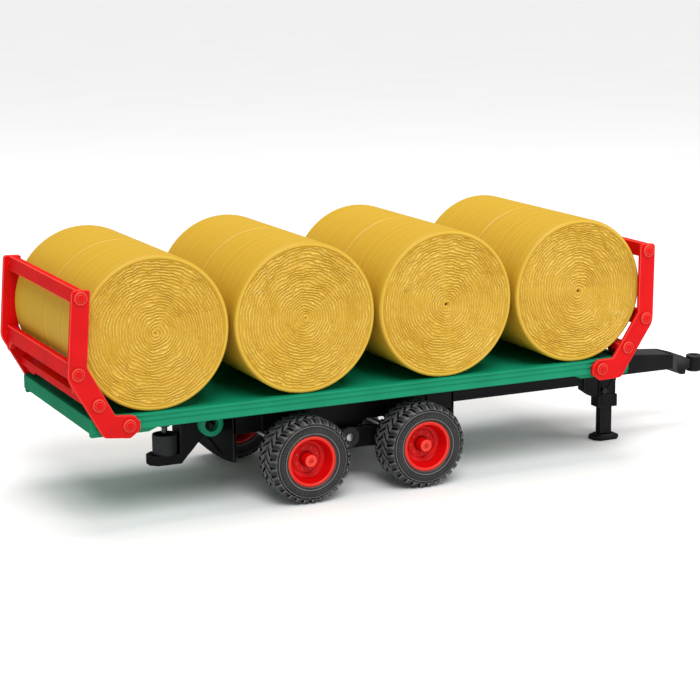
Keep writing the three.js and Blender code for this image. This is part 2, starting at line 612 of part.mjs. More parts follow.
function rack(end, turn, lean) {
  const base = new THREE.Group();
  base.rotation.z = turn;
  base.position.set(RACK_PIVOT_X * Math.cos(turn), 0, RACK_PIVOT_Z);
  const swing = new THREE.Group();
  swing.rotation.y = THREE.MathUtils.degToRad(lean);
  base.add(swing);
  SIDES.forEach(([name, side]) => {
    const outwardSide = turn === 0 ? side : -side;
    swing.add(part(`${end}_rack_plate_${name}`, rackPlate(outwardSide), RED));
    const pivot = pin([0, 0], HALF_WIDTH - PIN_DEPTH, outwardSide);
    swing.add(part(`${end}_rack_pivot_pin_${name}`, pivot, RED));
  });
  swing.add(part(`${end}_rack_top_bar`, barWithPins(plainBar(TOP_BAR), TOP_BAR), RED));
  swing.add(part(`${end}_rack_middle_bar`, barWithPins(haunchedBar(MIDDLE_BAR), MIDDLE_BAR), RED));
  swing.add(part(`${end}_rack_lower_bar`, barWithPins(shelfBar(LOWER_BAR), LOWER_BAR), RED));
  return base;
}
trailer.add(rack('front', 0, FRONT_RACK_LEAN));
trailer.add(rack('rear', Math.PI, REAR_RACK_LEAN));

// ---- drawbar ------------------------------------------------------------------------------
const DRAWBAR_HALF = DRAWBAR_WIDTH / 2;
const TONGUE_TOP = FRAME_TOP - FRAME_WALL - GAP;
const TONGUE_BOTTOM = FRAME_BOTTOM + TONGUE_LIFT;
const BOX_BOTTOM = TONGUE_BOTTOM - BOX_DROP;

function drawbar() {
  const wedgeTip = BOX_BOTTOM - WEDGE_DROP;
  const boxRear = FRAME_FRONT + 2 * BOX_STEP;
  const knee = NOSE_X - KNEE_FROM_NOSE;
  const shoulder = NOSE_X - WEDGE_FROM_NOSE;
  const noseTop = FRAME_TOP - NOSE_TOP_DROP;
  const noseLow = noseTop - NOSE_HEIGHT;
  const shoulderTop = FRAME_TOP - SHOULDER_DROP;
  const profile = [
    [TONGUE_REAR, TONGUE_BOTTOM], [FRAME_FRONT + BOX_STEP, TONGUE_BOTTOM], [boxRear, BOX_BOTTOM],
    [shoulder, BOX_BOTTOM], [NOSE_X - 2 * WEDGE_TIP_FROM_NOSE, wedgeTip + 1],
    [NOSE_X - WEDGE_TIP_FROM_NOSE, wedgeTip], [NOSE_X - WEDGE_TIP_FROM_NOSE + 1, noseLow],
    [NOSE_X, noseLow], [NOSE_X, noseTop], [NOSE_X - BROW_FROM_NOSE, FRAME_TOP - BROW_DROP],
    [shoulder, shoulderTop], [knee, FRAME_TOP - KNEE_DROP],
    [FRAME_FRONT + BOX_STEP, TONGUE_TOP], [TONGUE_REAR, TONGUE_TOP],
  ];
  const taper = NOSE_X - TAPER_FROM_NOSE;
  const plan = [
    [TONGUE_REAR, -DRAWBAR_HALF], [taper, -DRAWBAR_HALF], [NOSE_X, -NOSE_WIDTH / 2],
    [NOSE_X, NOSE_WIDTH / 2], [taper, DRAWBAR_HALF], [TONGUE_REAR, DRAWBAR_HALF],
  ];
  const hollowEnd = shoulder - 2 * DRAWBAR_WALL;
  const hollow = [
    [boxRear, wedgeTip], [hollowEnd, wedgeTip], [hollowEnd, shoulderTop - DRAWBAR_WALL],
    [knee, FRAME_TOP - KNEE_DROP - DRAWBAR_WALL], [boxRear, TONGUE_TOP - 1 - DRAWBAR_WALL],
  ];
  const body = common(slabXZ(profile, -DRAWBAR_HALF, DRAWBAR_HALF), slabXY(plan, 0, DECK_TOP));
  return cut(body, slabXZ(hollow, -DRAWBAR_HALF + DRAWBAR_WALL, DRAWBAR_HALF - DRAWBAR_WALL));
}
trailer.add(part('drawbar', drawbar(), BLACK));

function towingEye() {
  const ring = rodZ(EYE_RADIUS, EYE_BOTTOM, EYE_BOTTOM + EYE_HEIGHT, EYE_X, 0, CUP_FACETS);
  const neck = box(NOSE_X + GAP, EYE_X - EYE_RADIUS * 0.7, -EYE_NECK_WIDTH / 2, EYE_NECK_WIDTH / 2,
    EYE_BOTTOM + EYE_NECK_INSET, EYE_BOTTOM + EYE_HEIGHT - EYE_NECK_INSET);
  const hole = rodZ(EYE_HOLE_RADIUS, EYE_BOTTOM - 1, EYE_BOTTOM + EYE_HEIGHT + 1, EYE_X, 0, CUP_FACETS);
  return cut(join(ring, neck), hole);
}
trailer.add(part('towing_eye', towingEye(), BLACK));

// ---- jack leg on the drawbar's right flank --------------------------------------------------
const HOUSING_INNER_Y = -DRAWBAR_HALF - GAP;
const HOUSING_OUTER_Y = HOUSING_INNER_Y - HOUSING_WIDTH;
const LEG_Y = (HOUSING_INNER_Y + HOUSING_OUTER_Y) / 2;

const COLLAR_BOTTOM = FRAME_BOTTOM - HOUSING_DROP;
const COLLAR_TOP = COLLAR_BOTTOM + COLLAR_HEIGHT;

function legHousing() {
  const x0 = LEG_X - HOUSING_DEPTH / 2;
  const x1 = LEG_X + HOUSING_DEPTH / 2;
  const top = COLLAR_BOTTOM + HOUSING_HEIGHT;
  const collar = box(x0, x1, HOUSING_OUTER_Y, HOUSING_INNER_Y, COLLAR_BOTTOM, COLLAR_TOP);
  const neck = box(x0 + HOUSING_NECK_INSET, x1 - HOUSING_NECK_INSET, HOUSING_OUTER_Y + HOUSING_NECK_INSET,
    HOUSING_INNER_Y, COLLAR_TOP - 1, top);
  const gussetRear = FRAME_FRONT + 1;
  const gussetFront = x0 + GUSSET_STEP;
  const gusset = slabXZ([
    [gussetRear, FRAME_BOTTOM - GUSSET_TOP_INSET], [x0 - GUSSET_TOP_INSET, COLLAR_TOP - 1],
    [gussetFront, COLLAR_TOP - 1], [gussetFront, top - GUSSET_TOP_INSET],
    [gussetRear, top - GUSSET_TOP_INSET],
  ], HOUSING_OUTER_Y + GUSSET_STEP, HOUSING_INNER_Y);
  const brace = slabXZ([
    [gussetFront, COLLAR_TOP - 1], [gussetFront + BRACE_THICKNESS, COLLAR_TOP - 1],
    [x1 - HOUSING_NECK_INSET, COLLAR_TOP + BRACE_RISE],
    [x1 - HOUSING_NECK_INSET, COLLAR_TOP + BRACE_RISE + BRACE_THICKNESS],
  ], HOUSING_OUTER_Y, HOUSING_OUTER_Y + GUSSET_STEP);
  const latch = rodY(LATCH_RADIUS, HOUSING_OUTER_Y - LATCH_LENGTH / 2, HOUSING_OUTER_Y + LATCH_LENGTH / 2,
    x0 + 2 * GUSSET_STEP, COLLAR_TOP + LATCH_ABOVE_COLLAR);
  const shaft = box(LEG_X - LEG_DEPTH / 2 - RUNNING, LEG_X + LEG_DEPTH / 2 + RUNNING,
    LEG_Y - LEG_WIDTH / 2 - RUNNING, LEG_Y + LEG_WIDTH / 2 + RUNNING, 0, DECK_TOP);
  return cut(join(collar, neck, gusset, brace, latch), shaft);
}
trailer.add(part('leg_housing', legHousing(), BLACK));

trailer.add(part('leg_post', box(LEG_X - LEG_DEPTH / 2, LEG_X + LEG_DEPTH / 2, LEG_Y - LEG_WIDTH / 2,
  LEG_Y + LEG_WIDTH / 2, FOOT_THICKNESS + GAP, FRAME_BOTTOM - GAP), BLACK));

function legFoot() {
  const x = FOOT_LENGTH / 2;
  const y = FOOT_WIDTH / 2;
  const c = FOOT_CHAMFER;
  const plan = [[-x, -y + c], [-x + c, -y], [x - c, -y], [x, -y + c],
    [x, y - c], [x - c, y], [-x + c, y], [-x, y - c]];
  return slabXY(plan, 0, FOOT_THICKNESS).translate(LEG_X, LEG_Y, 0);
}
trailer.add(part('leg_foot', legFoot(), BLACK));

// ---- rear coupling: a cup on a bracket, with a drop pin --------------------------------------
const CUP_FLOOR = HITCH_BASE_BOTTOM + HITCH_BASE_THICKNESS;

function hitchBody() {
  const half = HITCH_BASE_WIDTH / 2;
  const back = HITCH_X - HITCH_BASE_BACK;
  const bracketRear = HITCH_X + BRACKET_AHEAD_OF_PIN;
  const bracketFront = FRAME_REAR - GAP;
  const base = slabXY([
    [back + HITCH_CHAMFER, -half], [bracketRear + 1, -half], [bracketRear + 1, half],
    [back + HITCH_CHAMFER, half], [back, half - HITCH_CHAMFER], [back, -half + HITCH_CHAMFER],
  ], HITCH_BASE_BOTTOM, CUP_FLOOR);
  const bracket = slabXZ([
    [bracketRear, HITCH_BASE_BOTTOM], [bracketRear + 1, HITCH_BASE_BOTTOM],
    [bracketRear + 1 + BRACKET_SLOPE, HITCH_BASE_BOTTOM + 1 + BRACKET_SLOPE],
    [bracketFront, HITCH_BASE_BOTTOM + 1 + BRACKET_SLOPE + BRACKET_BEAK],
    [bracketFront, FRAME_TOP], [bracketRear, FRAME_TOP],
  ], -BRACKET_WIDTH / 2, BRACKET_WIDTH / 2);
  const cup = rodZ(CUP_RADIUS, CUP_FLOOR - 1, CUP_FLOOR + CUP_HEIGHT, HITCH_X, 0, CUP_FACETS);
  const well = rodZ(CUP_RADIUS - CUP_WALL, CUP_FLOOR, CUP_FLOOR + CUP_HEIGHT + 1, HITCH_X, 0, CUP_FACETS);
  const pinHole = rodZ(HITCH_PIN_RADIUS + RUNNING, HITCH_BASE_BOTTOM - 1, CUP_FLOOR + 1, HITCH_X, 0);
  return cut(join(base, bracket, cup), well, pinHole);
}
trailer.add(part('hitch_body', hitchBody(), BLACK));

const HITCH_PIN_TOP = HITCH_BASE_BOTTOM + HITCH_PIN_LENGTH;
trailer.add(part('hitch_pin', join(
  rodZ(HITCH_PIN_RADIUS, HITCH_BASE_BOTTOM, HITCH_PIN_TOP, HITCH_X, 0),
  rodZ(HITCH_KNOB_RADIUS, HITCH_PIN_TOP - HITCH_KNOB_HEIGHT, HITCH_PIN_TOP, HITCH_X, 0),
), STEEL));

// ---- bales: thin moulded shells with a vent hole in the outer face ---------------------------
function baleProfile() {
  const half = BALE_WIDTH / 2;
  const inner = half - BALE_WALL;
  const bore = BALE_RADIUS - BALE_WALL;
  return [
    [0, -half], [BALE_RADIUS - BALE_EDGE, -half], [BALE_RADIUS, -half + BALE_EDGE],
    [BALE_RADIUS, half - BALE_EDGE], [BALE_RADIUS - BALE_EDGE, half], [BALE_VENT_RADIUS, half],
    [BALE_VENT_RADIUS, inner], [bore, inner], [bore, -inner], [0, -inner],
  ];
}

const BALE_Z = DECK_TOP + GAP + BALE_RADIUS;
const BALE_Y = GAP + BALE_WIDTH / 2;
for (let row = 0; row < BALE_ROWS; row += 1) {
  const x = BALE_ROW_SHIFT + (row - (BALE_ROWS - 1) / 2) * BALE_PITCH;
  SIDES.forEach(([name, side]) => {
    const bale = part(`bale_${row + 1}_${name}`, surface(solid(turnedY(baleProfile(), BALE_FACETS))), STRAW);
    bale.position.set(x, BALE_Y * side, BALE_Z);
    bale.rotation.z = side > 0 ? 0 : Math.PI;
    trailer.add(bale);
  });
}

// the origin is on the ground under the middle of the whole trailer
const bounds = new THREE.Box3().setFromObject(trailer);
trailer.position.x = -(bounds.min.x + bounds.max.x) / 2;

const group = new THREE.Group();
group.add(trailer);
export default group;
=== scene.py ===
# Toy round-bale trailer: the looks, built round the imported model. Metres, +X to the drawbar, +Z up.
import json
import math

import bmesh
import bpy
import numpy as np
from mathutils import Matrix, Vector


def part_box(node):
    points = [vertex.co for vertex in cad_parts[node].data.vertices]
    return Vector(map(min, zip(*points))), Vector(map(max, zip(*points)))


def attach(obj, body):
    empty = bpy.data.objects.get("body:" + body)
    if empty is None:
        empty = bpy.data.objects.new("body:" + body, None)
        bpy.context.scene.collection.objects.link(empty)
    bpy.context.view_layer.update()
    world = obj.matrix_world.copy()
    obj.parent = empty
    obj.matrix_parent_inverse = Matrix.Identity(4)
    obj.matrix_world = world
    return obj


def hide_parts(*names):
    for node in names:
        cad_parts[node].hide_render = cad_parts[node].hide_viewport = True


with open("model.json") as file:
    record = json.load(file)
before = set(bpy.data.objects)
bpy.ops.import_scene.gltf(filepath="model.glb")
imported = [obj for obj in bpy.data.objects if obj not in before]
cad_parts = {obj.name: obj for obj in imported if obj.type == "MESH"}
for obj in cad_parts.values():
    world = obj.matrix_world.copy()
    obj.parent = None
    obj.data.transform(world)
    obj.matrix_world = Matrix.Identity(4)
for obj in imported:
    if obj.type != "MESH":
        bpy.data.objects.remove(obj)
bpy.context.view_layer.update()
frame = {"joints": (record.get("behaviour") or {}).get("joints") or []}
MM = 0.001

# ---- camera, floor and lights ----
# A long lens a little above the deck, off the trailer's rear right corner, over a pale floor with
# a broad soft key light from high in front, a low lamp at the right and a large one overhead.
camera_data = bpy.data.cameras.new("camera")
camera_data.lens = 103.11
camera_data.sensor_width = 36
camera_data.clip_start = 0.05
camera = bpy.data.objects.new("camera", camera_data)
bpy.context.scene.collection.objects.link(camera)
sight = Vector((0.419053, 0.883075, -0.211124))
to_right = Vector((0.902613, -0.430369, -0.008550))
upwards = Vector((0.098412, 0.186980, 0.977422))
camera.matrix_world = (
    Matrix.Translation((-0.64085, -1.27868, 0.39167))
    @ Matrix((to_right, upwards, -sight)).transposed().to_4x4()
)
bpy.context.scene.camera = camera
bpy.context.scene.view_settings.view_transform = "Standard"


class Value:
    """A number in a node tree. Sums written on it add Math nodes."""

    def __init__(self, wiring, socket):
        self.wiring = wiring
        self.socket = socket

    def sum(self, operation, first, second=0.0):
        return self.wiring.node("ShaderNodeMath", {0: first, 1: second}, operation=operation)

    def __add__(self, other):
        return self.sum("ADD", self, other)

    def __radd__(self, other):
        return self.sum("ADD", other, self)

    def __sub__(self, other):
        return self.sum("SUBTRACT", self, other)

    def __rsub__(self, other):
        return self.sum("SUBTRACT", other, self)

    def __mul__(self, other):
        return self.sum("MULTIPLY", self, other)

    def __rmul__(self, other):
        return self.sum("MULTIPLY", other, self)

    def __truediv__(self, other):
        return self.sum("DIVIDE", self, other)

    def __pow__(self, other):
        return self.sum("POWER", self, other)

    def __abs__(self):
        return self.sum("ABSOLUTE", self)

    def sine(self):
        return self.sum("SINE", self)

    def between(self, low, high):
        """0 below low, 1 above high, with a smooth step between."""
        return self.wiring.node(
            "ShaderNodeMapRange", {"Value": self, "From Min": low, "From Max": high},
            "Result", interpolation_type="SMOOTHSTEP",
        )


class Wiring:
    """Adds nodes to one node tree."""

    def __init__(self, tree):
        self.tree = tree

    def node(self, kind, inputs=None, output=0, **settings):
        node = self.tree.nodes.new(kind)
        for name, setting in settings.items():
            setattr(node, name, setting)
        for name, value in (inputs or {}).items():
            if isinstance(value, Value):
                self.tree.links.new(value.socket, node.inputs[name])
            else:
                node.inputs[name].default_value = value
        return Value(self, node.outputs[output]) if len(node.outputs) else node

    def mix(self, factor, first, second):
        return self.node("ShaderNodeMix", {0: factor, 6: first, 7: second}, 2, data_type="RGBA")

    def spot(self):
        """The place on a piece."""
        return self.node("ShaderNodeTexCoord", output="Object")

    def stored(self, name):
        """A number stored on the mesh."""
        return self.node("ShaderNodeAttribute", output="Fac", attribute_name=name)

    def noise(self, place, scale, detail=2.0):
        return self.node("ShaderNodeTexNoise", {"Vector": place, "Scale": scale, "Detail": detail}, "Fac")

    def bump(self, height, strength, depth):
        inputs = {"Height": height, "Strength": strength, "Distance": depth}
        return self.node("ShaderNodeBump", inputs, "Normal")


def material_wiring(name):
    material = bpy.data.materials.new(name)
    material.use_nodes = True
    material.node_tree.nodes.clear()
    return material, Wiring(material.node_tree)


floor_material, wires = material_wiring("studio_floor")
cloud = wires.noise(wires.spot(), 6.0)
pale = wires.mix(cloud, (0.86, 0.86, 0.86, 1), (0.90, 0.90, 0.895, 1))
floor_surface = wires.node("ShaderNodeBsdfPrincipled", {"Base Color": pale, "Roughness": 0.9})
wires.node("ShaderNodeOutputMaterial", {"Surface": floor_surface})

FLOOR_REACH = 60.0
FLOOR_DROP = 0.0002
floor_corners = [
    (x * FLOOR_REACH, y * FLOOR_REACH, -FLOOR_DROP) for x, y in ((-1, -1), (1, -1), (1, 1), (-1, 1))
]
floor_mesh = bpy.data.meshes.new("floor")
floor_mesh.from_pydata(floor_corners, [], [(0, 1, 2, 3)])
floor_mesh.materials.append(floor_material)
floor = bpy.data.objects.new("floor", floor_mesh)
bpy.context.scene.collection.objects.link(floor)

world = bpy.data.worlds.new("studio")
world.use_nodes = True
world.node_tree.nodes["Background"].inputs["Color"].default_value = (1.0, 1.0, 1.0, 1)
world.node_tree.nodes["Background"].inputs["Strength"].default_value = 0.5
bpy.context.scene.world = world

for name, kind, place, size, power in (
    ("key_light", "SUN", (-0.3, -1.2, 1.7), 0.6, 2.05),
    ("side_lamp", "AREA", (1.3, -1.0, 0.7), 0.7, 5.0),
    ("top_lamp", "AREA", (0.0, 0.3, 1.8), 1.1, 17.0),
):
    lamp_data = bpy.data.lights.new(name, kind)
    if kind == "SUN":
        lamp_data.angle = size
    else:
        lamp_data.size = size
    lamp_data.energy = power
    lamp = bpy.data.objects.new(name, lamp_data)
    lamp.location = place
    aim = Vector((0, 0, 0.08)) - Vector(place)
    lamp.rotation_euler = aim.to_track_quat("-Z", "Y").to_euler()
    bpy.context.scene.collection.objects.link(lamp)

# ---- deck ----
# The deck is one green moulding: a tray with ribbed side rails, plain end beams, cross ribs below,
# deeper ears where the rack pins go in, screw bosses and two hinge lugs. It is moulded plastic with
# rounded edges, and the frame is screwed to it from below.
GREEN = (0.001, 0.205, 0.093, 1)
GREEN_SHADE = (0.001, 0.160, 0.070, 1)
# edge colour: partly worn plastic, partly painted highlight
GREEN_WEAR_AND_HIGHLIGHT = (0.008, 0.26, 0.135, 1)

deck_low, deck_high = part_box("deck")
middle = (deck_low.x + deck_high.x) / 2
half_length = (deck_high.x - deck_low.x) / 2 / MM
half_width = deck_high.y / MM
deck_top = deck_high.z / MM
frame_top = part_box("frame")[1].z / MM
frame_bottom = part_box("frame")[0].z / MM
deck_bottom = frame_top + 0.3


def span(node):
    """A CAD node's lowest and highest corners, in millimetres from the deck's middle."""
    low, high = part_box(node)
    shift = Vector((middle, 0, 0))
    return (low - shift) / MM, (high - shift) / MM


def glazed(wires, tone, gloss, bumps, shine):
    """Ends a material: a matt body under a thin even sheen."""
    body = wires.node(
        "ShaderNodeBsdfPrincipled",
        {"Base Color": tone, "Roughness": gloss, "Normal": bumps, "IOR": 1.02},
    )
    sheen = wires.node(
        "ShaderNodeBsdfAnisotropic", {"Color": (1, 1, 1, 1), "Roughness": gloss, "Normal": bumps}
    )
    surface = wires.node("ShaderNodeMixShader", {0: shine, 1: body, 2: sheen})
    wires.node("ShaderNodeOutputMaterial", {"Surface": surface})


def plastic(name, colour, shade, edge, roughness, grain=0.25, shine=0.012):
    """Moulded plastic: slow colour drift, a fine grain, outward edges lighter and smoother as partly wear
    and partly painted highlight, and painted shade in inward creases.
    """
    material, wires = material_wiring(name)
    drift = wires.noise(wires.spot(), 38.0, 3.0)
    specks = wires.noise(wires.spot(), 1400.0)
    edges = wires.stored("edges")
    # outward edges lightened: partly edge wear, partly painted highlight
    worn_and_highlit_edges = edges.between(0.6, 0.95) * (0.45 + 0.5 * drift)
    # painted shade: inward creases are darkened towards a quarter of the shade colour
    painted_crease_shade = 1 - edges.between(0.05, 0.4)
    crease_shade_colour = [0.25 * channel for channel in shade[:3]] + [1]
    tone = wires.mix(drift.between(0.3, 0.7), shade, colour)
    tone = wires.mix(worn_and_highlit_edges, tone, edge)
    tone = wires.mix(painted_crease_shade * 0.65, tone, crease_shade_colour)
    gloss = roughness + 0.14 * (drift - 0.5) + 0.10 * (specks - 0.5) - 0.05 * worn_and_highlit_edges
    bumps = wires.bump(specks * grain + drift * 0.6, 0.35, 0.00012)
    glazed(wires, tone, gloss, bumps, shine)
    return material


def round_edges(shape, width, steps=2):
    """Rounds every edge where the faces turn by more than 25 degrees."""
    edges = [e for e in shape.edges if len(e.link_faces) == 2 and e.calc_face_angle() > math.radians(25)]
    bmesh.ops.bevel(
        shape, geom=edges, offset=width, segments=steps, profile=0.5, affect="EDGES", clamp_overlap=True
    )
    return shape


def flared(outline, low, high, across="y", soft=0.4, steps=2):
    """A closed slab of an outline; low and high give its two faces' places at each outline point."""
    order = {
        "x": lambda a, b, t: (t, a, b),
        "y": lambda a, b, t: (a, t, b),
        "z": lambda a, b, t: (a, b, t),
    }[across]
    shape = bmesh.new()
    near = [shape.verts.new(order(a, b, low(a, b))) for a, b in outline]
    far = [shape.verts.new(order(a, b, high(a, b))) for a, b in outline]
    shape.faces.new(near)
    shape.faces.new(far[::-1])
    for i in range(len(outline)):
        shape.faces.new((near[i - 1], near[i], far[i], far[i - 1]))
    bmesh.ops.recalc_face_normals(shape, faces=shape.faces)
    return round_edges(shape, soft, steps) if soft else shape


def slab(outline, low, high, across="y", soft=0.4, steps=2):
    """A closed slab of a flat outline between two planes."""
    return flared(outline, lambda a, b: low, lambda a, b: high, across, soft, steps)


def block(x, y, z, soft=0.4, steps=2):
    """A box between two places on each axis."""
    return slab([(x[0], z[0]), (x[1], z[0]), (x[1], z[1]), (x[0], z[1])], *y, soft=soft, steps=steps)


def turned(profile, centre=(0, 0, 0), along="y", sides=48, ring=False):
    """A profile of (radius, place along the axis) turned round it. A ring's profile is a closed loop."""
    shape = bmesh.new()
    loops = []
    for radius, place in profile:
        points = []
        for i in range(1 if radius < 1e-6 else sides):
            angle = 2 * math.pi * i / sides
            a, b = radius * math.cos(angle), radius * math.sin(angle)
            spot = {"x": (place, a, b), "y": (a, place, b), "z": (a, b, place)}[along]
            points.append(shape.verts.new(Vector(centre) + Vector(spot)))
        loops.append(points)
    pairs = list(zip(loops, loops[1:])) + ([(loops[-1], loops[0])] if ring else [])
    for first, second in pairs:
        for i in range(sides):
            if len(first) == 1:
                shape.faces.new((first[0], second[i], second[i - 1]))
            elif len(second) == 1:
                shape.faces.new((first[i - 1], first[i], second[0]))
            else:
                shape.faces.new((first[i - 1], first[i], second[i], second[i - 1]))
    bmesh.ops.recalc_face_normals(shape, faces=shape.faces)
    return shape


def arc(cx, cy, radius, start, end, steps):
    """Points on a round arc, in degrees."""
    turn = [math.radians(start + (end - start) * i / steps) for i in range(steps + 1)]
    return [(cx + radius * math.cos(t), cy + radius * math.sin(t)) for t in turn]


def merged(shapes, place=Matrix()):
    """One mesh of several closed shapes, carried from millimetres into the trailer's place."""
    whole = bmesh.new()
    for shape in shapes:
        bit = bpy.data.meshes.new("bit")
        shape.to_mesh(bit)
        shape.free()
        whole.from_mesh(bit)
        bpy.data.meshes.remove(bit)
    whole.transform(Matrix.Translation((middle, 0, 0)) @ Matrix.Scale(MM, 4) @ place)
    mesh = bpy.data.meshes.new("piece")
    whole.to_mesh(mesh)
    whole.free()
    return mesh


def joined(*meshes):
    """One mesh of several finished meshes."""
    whole = bmesh.new()
    for mesh in meshes:
        whole.from_mesh(mesh)
    finished = bpy.data.meshes.new("joined")
    whole.to_mesh(finished)
    whole.free()
    return finished


def mark_edges(mesh):
    """Stores 1 at the mesh's outward edges, 0 at its inward ones and 0.5 on its flats."""
    shape = bmesh.new()
    shape.from_mesh(mesh)
    marks = []
    for corner in shape.verts:
        bends = [e.calc_face_angle_signed(0) for e in corner.link_edges if len(e.link_faces) == 2]
        bend = max(bends, key=abs, default=0)
        size = min(1, max(0, (math.degrees(abs(bend)) - 23) / 7))
        marks.append(0.5 + math.copysign(size, bend) / 2)
    shape.free()
    mesh.attributes.new("edges", "FLOAT", "POINT").data.foreach_set("value", marks)


def mounted(name, mesh, material, body, slot, nodes, crease=50, marked=True):
    """Puts a finished mesh on its body, in place of the CAD nodes that it stands for."""
    mesh.name = name
    if marked:
        mark_edges(mesh)
    mesh.shade_smooth()
    mesh.set_sharp_from_angle(angle=math.radians(crease))
    mesh.materials.clear()
    mesh.materials.append(material)
    piece = bpy.data.objects.new(name, mesh)
    bpy.context.scene.collection.objects.link(piece)
    even = piece.modifiers.new("even_shading", "WEIGHTED_NORMAL")
    even.keep_sharp = True
    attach(piece, body)
    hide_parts(*nodes)
    return piece


green_plastic = plastic("green_plastic", GREEN, GREEN_SHADE, GREEN_WEAR_AND_HIGHLIGHT, 0.38)

BEAM = 5  # width of the side rails and end beams
floor_top = deck_top - 1.2
floor_bottom = floor_top - 2
rail_inside = half_width - BEAM
groove = half_width - 0.8
RAIL_STEPS = 17  # the rail's outline counts its places down from the top in these
rail_step = (deck_top - deck_bottom) / RAIL_STEPS
rail_face = [
    (half_width - 0.5, 0), (half_width, 0.8), (half_width, 2.6), (groove + 0.1, 3.6), (groove, 4.1),
    (groove, 5.2), (half_width - 0.2, 6.3), (half_width, 6.7), (half_width, 8.2), (groove + 0.1, 9.3),
    (groove, 9.7), (groove, 10.8), (half_width - 0.2, 11.9), (half_width, 12.3), (half_width, 16.2),
    (half_width - 0.5, RAIL_STEPS),
]
half_section = (
    [(half_width - 7, floor_top), (half_width - 6, floor_top), (half_width - 5.8, deck_top)]
    + [(y, deck_top - step * rail_step) for y, step in rail_face]
    + [(rail_inside, deck_bottom), (rail_inside, floor_bottom)]
)
section = half_section + [(-y, z) for y, z in reversed(half_section)]
tray_end = half_length - BEAM + 0.3
deck_shapes = [slab(section, -tray_end, tray_end, "x", soft=0)]
EAR_LENGTH, EAR_RAMP = 40, 7
ear_bottom = deck_bottom - 2.4
for end in (-1, 1):
    outside, inside = end * half_length, end * (half_length - BEAM)
    deck_shapes.append(
        block(sorted((outside, inside)), (-half_width, half_width), (deck_bottom, deck_top), 0.7)
    )
    ear_end = end * (half_length - EAR_LENGTH)
    ramp = end * (half_length - EAR_LENGTH - EAR_RAMP)
    tip = outside - end * 0.5
    outline = [
        (tip, deck_bottom + 1), (tip, ear_bottom), (ear_end, ear_bottom),
        (ramp, deck_bottom + 0.3), (ramp, deck_bottom + 1),
    ]
    for side in (-1, 1):
        ear_y = sorted((side * rail_inside, side * (half_width - 0.6)))
        deck_shapes.append(slab(outline, *ear_y))
rib_reach = half_length - EAR_LENGTH - 5.5
for rib_x in np.linspace(-rib_reach, rib_reach, 5):
    deck_shapes.append(
        block((rib_x - 1.5, rib_x + 1.5), (-rail_inside, rail_inside), (deck_bottom, floor_top - 1), 0.3)
    )
screws = [span(f"frame_screw_{i}") for i in range(1, 5)]
boss = [(1.7, deck_bottom), (4, deck_bottom), (4.4, floor_bottom), (1.7, floor_bottom)]
for low, high in screws:
    deck_shapes.append(turned(boss, ((low.x + high.x) / 2, 0, 0), "z", 24, ring=True))
LUG_BORE, LUG_RADIUS = 5, 8.6
LUG_PLACES = (29, 35)
lug_x = span("frame")[0].x - 9
lug_z = deck_bottom - 13.6
for side in (-1, 1):
    y_in, y_out = sorted(side * y for y in LUG_PLACES)
    lug = [
        (LUG_BORE, y_in), (LUG_BORE + 0.4, y_in - 0.3), (LUG_RADIUS - 0.4, y_in),
        (LUG_RADIUS, y_in + 0.4), (LUG_RADIUS, y_out - 0.4), (LUG_RADIUS - 0.4, y_out),
        (LUG_BORE + 0.4, y_out + 0.3), (LUG_BORE, y_out),
    ]
    deck_shapes.append(turned(lug, (lug_x, 0, lug_z), sides=40, ring=True))
    deck_shapes.append(
        block((lug_x - 8.5, lug_x + 8.5), (y_in + 0.4, y_out - 0.4), (lug_z + 6, floor_bottom + 1))
    )
mounted("deck_tray", merged(deck_shapes), green_plastic, "trailer", "green_plastic", ["deck"])

# ---- frame and its screws ----
# A black channel of satin moulded plastic runs under the deck's middle. Four bright steel screws go
# up through it into the deck's bosses; their round heads carry a raised cross.
BLACK = (0.006, 0.006, 0.007, 1)
BLACK_SHADE = (0.003, 0.003, 0.004, 1)
# edge colour: partly worn plastic, partly painted highlight
BLACK_WEAR_AND_HIGHLIGHT = (0.055, 0.055, 0.058, 1)
black_plastic = plastic("black_plastic", BLACK, BLACK_SHADE, BLACK_WEAR_AND_HIGHLIGHT, 0.42, grain=0.5, shine=0.010)
BLACK_PART = (black_plastic, "trailer", "black_plastic")  # material, body and slot

frame_low, frame_high = span("frame")
CHANNEL_HALF = 20
CHANNEL_WALL = 2
channel_in = CHANNEL_HALF - CHANNEL_WALL
roof = frame_top - CHANNEL_WALL
channel = [
    (-CHANNEL_HALF, frame_bottom), (-channel_in, frame_bottom), (-channel_in, roof),
    (channel_in, roof), (channel_in, frame_bottom), (CHANNEL_HALF, frame_bottom),
    (CHANNEL_HALF, frame_top), (-CHANNEL_HALF, frame_top),
]
frame_shapes = [slab(channel, frame_low.x, frame_high.x, "x", soft=0.5)]
rib_y = (-channel_in - 0.5, channel_in + 0.5)
for x in np.arange(frame_low.x + 12, frame_high.x - 52, 24):
    frame_shapes.append(block((x - 0.8, x + 0.8), rib_y, (roof - 4, roof + 0.5), 0.3))
mounted("frame_channel", merged(frame_shapes), *BLACK_PART, ["frame"])


def turned_steel(name, dull, bright):
    """Turned steel with a fine grain and a slightly uneven shine."""
    material, wires = material_wiring(name)
    lines = wires.noise(wires.spot(), 2600.0)
    haze = wires.noise(wires.spot(), 120.0)
    tone = wires.mix(haze, dull, bright)
    bumps = wires.bump(lines, 0.2, 0.00004)
    surface = wires.node(
        "ShaderNodeBsdfPrincipled",
        {"Base Color": tone, "Metallic": 1.0, "Roughness": 0.24 + 0.18 * haze, "Normal": bumps},
    )
    wires.node("ShaderNodeOutputMaterial", {"Surface": surface})
    return material


steel = turned_steel("turned_steel", (0.36, 0.36, 0.37, 1), (0.55, 0.55, 0.56, 1))


